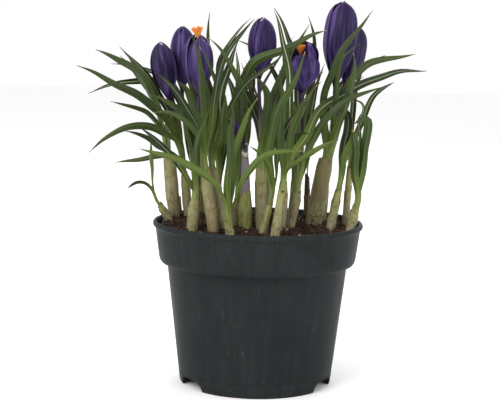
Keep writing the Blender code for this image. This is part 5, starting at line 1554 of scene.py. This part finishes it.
def tepal_grid(bloom, turn, inner, look, rng):
    """One fine tepal: two curved sheets that meet at their edges."""
    widest = BLOOMS[bloom][3]
    tone, lap, hood, drop, _ = BLOOM_LOOKS[bloom]
    foot, tip, axis = cup_ends(bloom)
    length = np.linalg.norm(tip - foot)
    a, b = side_axes(axis)
    rows, columns = look.tepal_rows, look.tepal_columns
    height = length * ((0.975 if inner else 1.0) + rng.uniform(-0.02, 0.0))
    if (math.cos(turn) * a + math.sin(turn) * b)[1] < -0.3:
        height *= 1.0 - drop
    bend = rng.uniform(-0.05, 0.05)
    seed = rng.uniform(0.0, 90.0)
    own_tone = min(1.0, max(0.0, tone + rng.uniform(-0.15, 0.15)))
    small = min(1.0, widest / 8.0)
    points, along, across, inside = [], [], [], []
    for level in (0, 1):
        for row in range(rows + 1):
            v = row / rows
            t = max(0.0, (v - 0.58) / 0.42)
            widening = math.sin(math.pi * min(1.0, v / 0.5) / 2)
            half = math.radians(24 + (34 if inner else 40) * widening)
            half *= max(0.02, 1.0 - t ** 7.0) ** 0.5
            inset = 1.3 * min(1.0, v * 3.0) * small if inner else 0.0
            for column in range(columns + 1):
                u = 2.0 * column / columns - 1.0
                wall = look.tepal_thickness * (1.0 - 0.7 * abs(u) ** 3) * (1.0 - 0.6 * v ** 4)
                radius = rounded_profile(bloom, v) - inset - level * wall
                radius += lap * small * u * min(1.0, 2.5 * v) * (1.0 - 0.4 * v)
                radius -= 0.55 * small * (1.0 - abs(u)) ** 2 * min(1.0, 3.0 * v) * 0.5
                radius -= hood * widest * 0.42 * max(0.0, (v - 0.72) / 0.28) ** 2
                radius += 0.25 * small * abs(u) ** 3 * math.sin(7.0 * v + seed + u) * v
                radius += 0.22 * small * noise.noise(Vector((u * 0.9, v * 2.0, seed)))
                radius = max(radius, 0.35 - 0.1 * level)
                angle = turn + bend * v + u * half
                rise = height * v - length * 0.04 * u * u * max(0.0, v - 0.5)
                points.append(foot + axis * rise
                              + radius * (math.cos(angle) * a + math.sin(angle) * b))
                along.append(v)
                across.append(u)
                inside.append(float(level))
    floats = {"along": along, "across": across, "inside": inside,
              "tone": [own_tone] * len(points)}
    return points, sheet_faces(rows, columns), floats


def tube_part(name):
    """The slender tube of a bloom, widening into the foot of its cup."""
    foot, _, axis = cup_ends(name)
    line = np.vstack([bloom_line(name), foot + axis * 1.5])
    fine = even(rounded(spline(line, samples=6), 2), 40)
    share = arc_lengths(fine)
    share = share / share[-1]
    radii = TUBE_RADIUS * (1.0 + 0.35 * np.maximum(0.0, (share - 0.85) / 0.15) ** 2)
    sides = 12
    return (tube_along(fine, radii, sides), tube_faces(len(fine), sides),
            {"along": np.repeat(share, sides)})


def spathe_part(name, rng):
    """The papery spathe wrapped round the lower part of a bloom's tube."""
    spathe = BLOOMS[name][5]
    line = spline(bloom_line(name), samples=10)
    mouth, _ = mouth_frame(BLOOMS[name][0])
    kept = line[(line[:, 2] > mouth[2] - 3.0) & (line[:, 2] < spathe + 3.0)]
    if len(kept) < 4:
        return None
    kept = even(kept, 16)
    share = np.linspace(0.0, 1.0, len(kept))
    radii = TUBE_RADIUS + 0.25 + 0.75 * np.sin(math.pi * np.minimum(1.0, share * 1.15)) ** 0.8
    radii = np.maximum(radii, TUBE_RADIUS + 0.3)
    return cuff(kept, radii, 0.15, 4.0, 1.2, 3.0, 0.1, 14, rng, {"tone": rng.uniform(0.0, 9.0)})


def build_flowers(look):
    petal, tube_look, paper = tepal_finish(look), tube_finish(look), spathe_finish()
    rng = random.Random(SEEDS["flowers"])
    for name, (_, _, _, widest, _, _, _) in BLOOMS.items():
        turn = BLOOM_LOOKS[name][4]
        parts = []
        for k in range(3):
            parts.append(tepal_grid(name, math.tau * k / 3 + turn, False, look, rng))
            if widest > SMALL_CUP:
                parts.append(tepal_grid(name, math.tau * (k + 0.5) / 3 + turn, True, look, rng))
        points, faces, floats = gather(parts)
        cup = mesh_piece("cup_" + name, points, faces, petal, floats, SOFT_SHARP_DEG)
        settle(cup, "tepal_violet", name)
        points, faces, floats = tube_part(name)
        settle(mesh_piece("tube_" + name, points, faces, tube_look, floats), "tepal_violet")
        wrapped = spathe_part(name, rng)
        if wrapped:
            points, faces, floats = wrapped
            settle(mesh_piece("spathe_" + name, points, faces, paper, floats, THIN_SHARP_DEG),
                   "tepal_violet")


# ---- stigmas -------------------------------------------------------------------------------

def fan_part(base, axis, a, b, turn, length, radius, look, rng):
    """One frilled trumpet of a stigma, opening upwards and outwards."""
    rows, columns = 12, look.stigma_frills
    points, along = [], []
    lean = unit(math.cos(turn) * a + math.sin(turn) * b)
    side = np.cross(axis, lean)
    seed = rng.uniform(0.0, 50.0)
    length *= rng.uniform(0.82, 1.0)
    for level in (0, 1):
        for row in range(rows + 1):
            v = row / rows
            spread = radius * (0.16 + 0.84 * v ** 1.1)
            for column in range(columns + 1):
                u = 2.0 * column / columns - 1.0
                bend = u * math.radians(70 + 75 * v)
                ruffle = noise.noise(Vector((u * 4.5, seed, v * 1.2)))
                out = 0.42 * radius * v + spread * 0.50 * math.cos(bend)
                out += 0.55 * radius * v ** 2 * ruffle - level * 0.2
                across = spread * 0.85 * math.sin(bend) + 0.12 * radius * v ** 2 * math.sin(9 * u)
                lift = noise.noise(Vector((u * 5.5, v * 0.8, seed + 9.0)))
                rise = length * v + 0.50 * radius * v ** 2 * lift
                points.append(base + axis * rise + lean * out + side * across)
                along.append(v)
    return points, sheet_faces(rows, columns), {"along": along}


def style_part(base, axis, length, low, high):
    """The smooth style below a stigma's fans."""
    rings, sides = 8, 10
    line = np.array([base + axis * length * t for t in np.linspace(0.0, 1.0, rings)])
    points = tube_along(line, np.linspace(low, high, rings), sides)
    return points, tube_faces(rings, sides), {"along": [0.0] * len(points)}


def build_stigmas(look):
    material = stigma_finish(look)
    rng = random.Random(SEEDS["stigmas"])
    for name, (bloom, reach, fan) in STIGMAS.items():
        foot, _, axis = cup_ends(bloom)
        a, b = side_axes(axis)
        base = foot + axis * (1.2 + GAP)
        split = reach - 1.2 - GAP - fan * 2.4
        parts = [style_part(base, axis, split + 0.3, 0.45, 0.6)]
        for k in range(3):
            parts.append(fan_part(base + axis * split, axis, a, b, math.tau * k / 3 + 0.9,
                                  fan * 2.4 - 0.2, fan * 1.1, look, rng))
        points, faces, floats = gather(parts)
        item = mesh_piece(name + "_fans", points, faces, material, floats, THIN_SHARP_DEG)
        settle(item, "stigma_orange", name)


# ---- stage ---------------------------------------------------------------------------------

def area_light(name, place, target, size, power, colour):
    light = bpy.data.lights.new(name, "AREA")
    light.shape = "DISK"
    light.size = size
    light.energy = power
    light.color = colour
    item = new_object(name, light)
    item.location = place
    item.rotation_euler = (Vector(target) - Vector(place)).to_track_quat("-Z", "Y").to_euler()


def build_stage(look):
    half = 4.0            # of the floor's width, in metres
    mesh = bpy.data.meshes.new("floor")
    mesh.from_pydata([(-half, -half, 0.0), (half, -half, 0.0), (half, half, 0.0),
                      (-half, half, 0.0)], [], [(0, 1, 2, 3)])
    floor = new_object("floor", mesh)
    plain = bpy.data.materials.new("floor_finish")
    plain.use_nodes = True
    shader = plain.node_tree.nodes["Principled BSDF"]
    shader.inputs["Base Color"].default_value = (*look.floor_colour, 1.0)
    shader.inputs["Roughness"].default_value = 0.9
    mesh.materials.append(plain)

    world = bpy.data.worlds.new("soft_room")
    world.use_nodes = True
    sky = world.node_tree.nodes["Background"]
    sky.inputs["Color"].default_value = (1.0, 1.0, 1.0, 1.0)
    sky.inputs["Strength"].default_value = look.room_light
    bpy.context.scene.world = world
    middle = (0.0, 0.0, 0.12)
    area_light("key", (-0.75, -0.95, 0.95), middle, 0.9, look.key_light, (1.0, 0.98, 0.95))
    area_light("fill", (1.0, -0.7, 0.5), middle, 1.1, look.key_light * 0.40, (0.95, 0.98, 1.0))
    area_light("back", (0.2, 1.1, 0.9), middle, 0.9, look.key_light * 0.45, (1.0, 1.0, 1.0))

    camera = bpy.data.cameras.new("camera")
    camera.lens = look.lens
    camera.clip_start = 0.05
    item = new_object("camera", camera)
    place, target = Vector(look.camera_place), Vector(look.camera_target)
    facing = (target - place).to_track_quat("-Z", "Y").to_matrix().to_4x4()
    item.matrix_world = Matrix.Translation(place) @ facing @ Matrix.Rotation(look.camera_roll, 4,
                                                                            "Z")
    bpy.context.scene.camera = item
    bpy.context.scene.view_settings.view_transform = "Standard"


# ---- settings ------------------------------------------------------------------------------

def colour_setting(name, description, *value):
    return bpy.props.FloatVectorProperty(name=name, description=description, subtype="COLOR",
                                         size=3, min=0.0, max=1.0, default=value)


def size_setting(name, description, value, low, high, **kind):
    return bpy.props.FloatProperty(name=name, description=description, default=value, min=low,
                                   max=high, **kind)


def count_setting(name, description, value, low, high):
    return bpy.props.IntProperty(name=name, description=description, default=value, min=low,
                                 max=high)


def place_setting(name, description, *value):
    return bpy.props.FloatVectorProperty(name=name, description=description, subtype="XYZ",
                                         unit="LENGTH", default=value)


class CROCUS_PG_pot(bpy.types.PropertyGroup):
    pot_colour: colour_setting("Pot colour", "Colour of the pot's plastic", 0.0165, 0.0195, 0.0200)
    soil_dark: colour_setting("Dark peat", "Colour of moist peat", 0.014, 0.008, 0.006)
    soil_light: colour_setting("Light peat", "Colour of drier peat", 0.055, 0.030, 0.020)
    soil_roughness: size_setting("Soil roughness", "Strength of the lumps in the soil", 1.0, 0.0,
                                 2.0, subtype="FACTOR")
    crumb_density: size_setting("Crumb density", "Crumbs on each square millimetre of soil",
                                0.16, 0.0, 0.5)
    soil_seed: count_setting("Soil seed", "Seed of the scattered crumbs", 4, 0, 1000)


class CROCUS_PG_plant(bpy.types.PropertyGroup):
    sheath_colour: colour_setting("Sheath colour", "Colour of the papery sheaths", 0.38, 0.35,
                                  0.215)
    sheath_sides: count_setting("Sheath sides", "Points round each sheath", 20, 8, 40)
    sheath_step: size_setting("Sheath step", "Distance between the rings of a sheath, mm", 2.6,
                              1.0, 8.0)
    sheath_tear: size_setting("Sheath tears", "Depth of the tears in a sheath's rim, mm", 1.4,
                              0.0, 4.0)
    leaf_dark: colour_setting("Leaf, dark", "Darkest green of the leaves", 0.006, 0.012, 0.002)
    leaf_mid: colour_setting("Leaf, middle", "Middle green of the leaves", 0.015, 0.027, 0.004)
    leaf_light: colour_setting("Leaf, light", "Lightest green of the leaves", 0.040, 0.064, 0.009)
    leaf_stripe: colour_setting("Leaf stripe", "Colour of the stripe along each leaf", 0.36, 0.42,
                                0.28)
    leaf_segments: count_setting("Leaf segments", "Lengthwise segments of each leaf", 34, 8, 80)
    leaf_keel: size_setting("Leaf keel", "Depth of the keel in half-widths", 0.40, 0.15, 0.8)


class CROCUS_PG_flower(bpy.types.PropertyGroup):
    tepal_dark: colour_setting("Tepal, dark", "Darkest violet", 0.005, 0.002, 0.018)
    tepal_mid: colour_setting("Tepal, middle", "Middle violet", 0.016, 0.007, 0.054)
    tepal_light: colour_setting("Tepal, light", "Lightest violet", 0.100, 0.064, 0.215)
    tepal_thickness: size_setting("Tepal thickness", "Thickness of a tepal's middle, mm", 0.4,
                                  0.1, 0.8)
    tepal_rows: count_setting("Tepal rows", "Segments along a tepal", 26, 6, 60)
    tepal_columns: count_setting("Tepal columns", "Segments across a tepal", 16, 4, 40)
    stigma_colour: colour_setting("Stigma colour", "Orange of the stigma", 0.66, 0.165, 0.006)
    stigma_frills: count_setting("Stigma frills", "Segments round a stigma's fan", 22, 8, 60)


class CROCUS_PG_stage(bpy.types.PropertyGroup):
    floor_colour: colour_setting("Floor colour", "Colour of the floor", 0.95, 0.95, 0.95)
    room_light: size_setting("Room light", "Strength of the even light", 1.0, 0.0, 3.0)
    key_light: size_setting("Key light", "Power of the main soft light", 13.0, 0.0, 200.0,
                            unit="POWER")
    lens: size_setting("Lens", "Focal length of the camera, mm", 93.6, 20.0, 300.0)
    camera_place: place_setting("Camera place", "Where the camera stands", 0.0, -0.7374, 0.1982)
    camera_target: place_setting("Camera target", "What the camera looks at", -0.0048, 0.0, 0.1047)
    camera_roll: size_setting("Camera roll", "Turn of the camera about its view",
                              math.radians(1.13), -math.pi, math.pi, subtype="ANGLE")


# ---- operators and panel -------------------------------------------------------------------

class CROCUS_OT_pot(bpy.types.Operator):
    """Build the nursery pot with its rolled lip, stepped band, notches and drain holes"""
    bl_idname = "crocus.pot"
    bl_label = "Build pot"

    def execute(self, context):
        build_pot(context.scene.crocus_pot)
        return {"FINISHED"}


class CROCUS_OT_soil(bpy.types.Operator):
    """Build the peat with its scattered crumbs, grit and root fibres"""
    bl_idname = "crocus.soil"
    bl_label = "Build soil"

    def execute(self, context):
        build_soil(context.scene.crocus_pot)
        return {"FINISHED"}


class CROCUS_OT_shoots(bpy.types.Operator):
    """Build the corms with their layered papery sheaths"""
    bl_idname = "crocus.shoots"
    bl_label = "Build shoots"

    def execute(self, context):
        build_shoots(context.scene.crocus_plant)
        return {"FINISHED"}


class CROCUS_OT_leaves(bpy.types.Operator):
    """Build the tufts of channelled, striped leaves"""
    bl_idname = "crocus.leaves"
    bl_label = "Build leaves"

    def execute(self, context):
        build_leaves(context.scene.crocus_plant)
        return {"FINISHED"}


class CROCUS_OT_flowers(bpy.types.Operator):
    """Build the blooms: tepals, tubes and spathes"""
    bl_idname = "crocus.flowers"
    bl_label = "Build flowers"

    def execute(self, context):
        build_flowers(context.scene.crocus_flower)
        return {"FINISHED"}


class CROCUS_OT_stigmas(bpy.types.Operator):
    """Build the frilled orange stigmas"""
    bl_idname = "crocus.stigmas"
    bl_label = "Build stigmas"

    def execute(self, context):
        build_stigmas(context.scene.crocus_flower)
        return {"FINISHED"}


class CROCUS_OT_stage(bpy.types.Operator):
    """Build the floor, the lights and the camera"""
    bl_idname = "crocus.stage"
    bl_label = "Build stage"

    def execute(self, context):
        build_stage(context.scene.crocus_stage)
        return {"FINISHED"}


GROUPS = (("crocus_pot", CROCUS_PG_pot), ("crocus_plant", CROCUS_PG_plant),
          ("crocus_flower", CROCUS_PG_flower), ("crocus_stage", CROCUS_PG_stage))
OPERATORS = (CROCUS_OT_pot, CROCUS_OT_soil, CROCUS_OT_shoots, CROCUS_OT_leaves,
             CROCUS_OT_flowers, CROCUS_OT_stigmas, CROCUS_OT_stage)


class CROCUS_PT_panel(bpy.types.Panel):
    """Builders and settings of the potted crocus"""
    bl_idname = "CROCUS_PT_panel"
    bl_label = "Potted crocus"
    bl_space_type = "VIEW_3D"
    bl_region_type = "UI"
    bl_category = "Crocus"

    def draw(self, context):
        for operator in OPERATORS:
            self.layout.operator(operator.bl_idname)
        for key, group in GROUPS:
            box = self.layout.box()
            for setting in group.__annotations__:
                box.prop(getattr(context.scene, key), setting)


def register():
    for key, group in GROUPS:
        bpy.utils.register_class(group)
        setattr(bpy.types.Scene, key, bpy.props.PointerProperty(type=group))
    for cls in (*OPERATORS, CROCUS_PT_panel):
        bpy.utils.register_class(cls)


def unregister():
    for cls in (CROCUS_PT_panel, *reversed(OPERATORS)):
        bpy.utils.unregister_class(cls)
    for key, group in reversed(GROUPS):
        delattr(bpy.types.Scene, key)
        bpy.utils.unregister_class(group)


def main():
    register()
    for build in (bpy.ops.crocus.pot, bpy.ops.crocus.soil, bpy.ops.crocus.shoots,
                  bpy.ops.crocus.leaves, bpy.ops.crocus.flowers, bpy.ops.crocus.stigmas,
                  bpy.ops.crocus.stage):
        build()


if __name__ == "__main__":
    main()
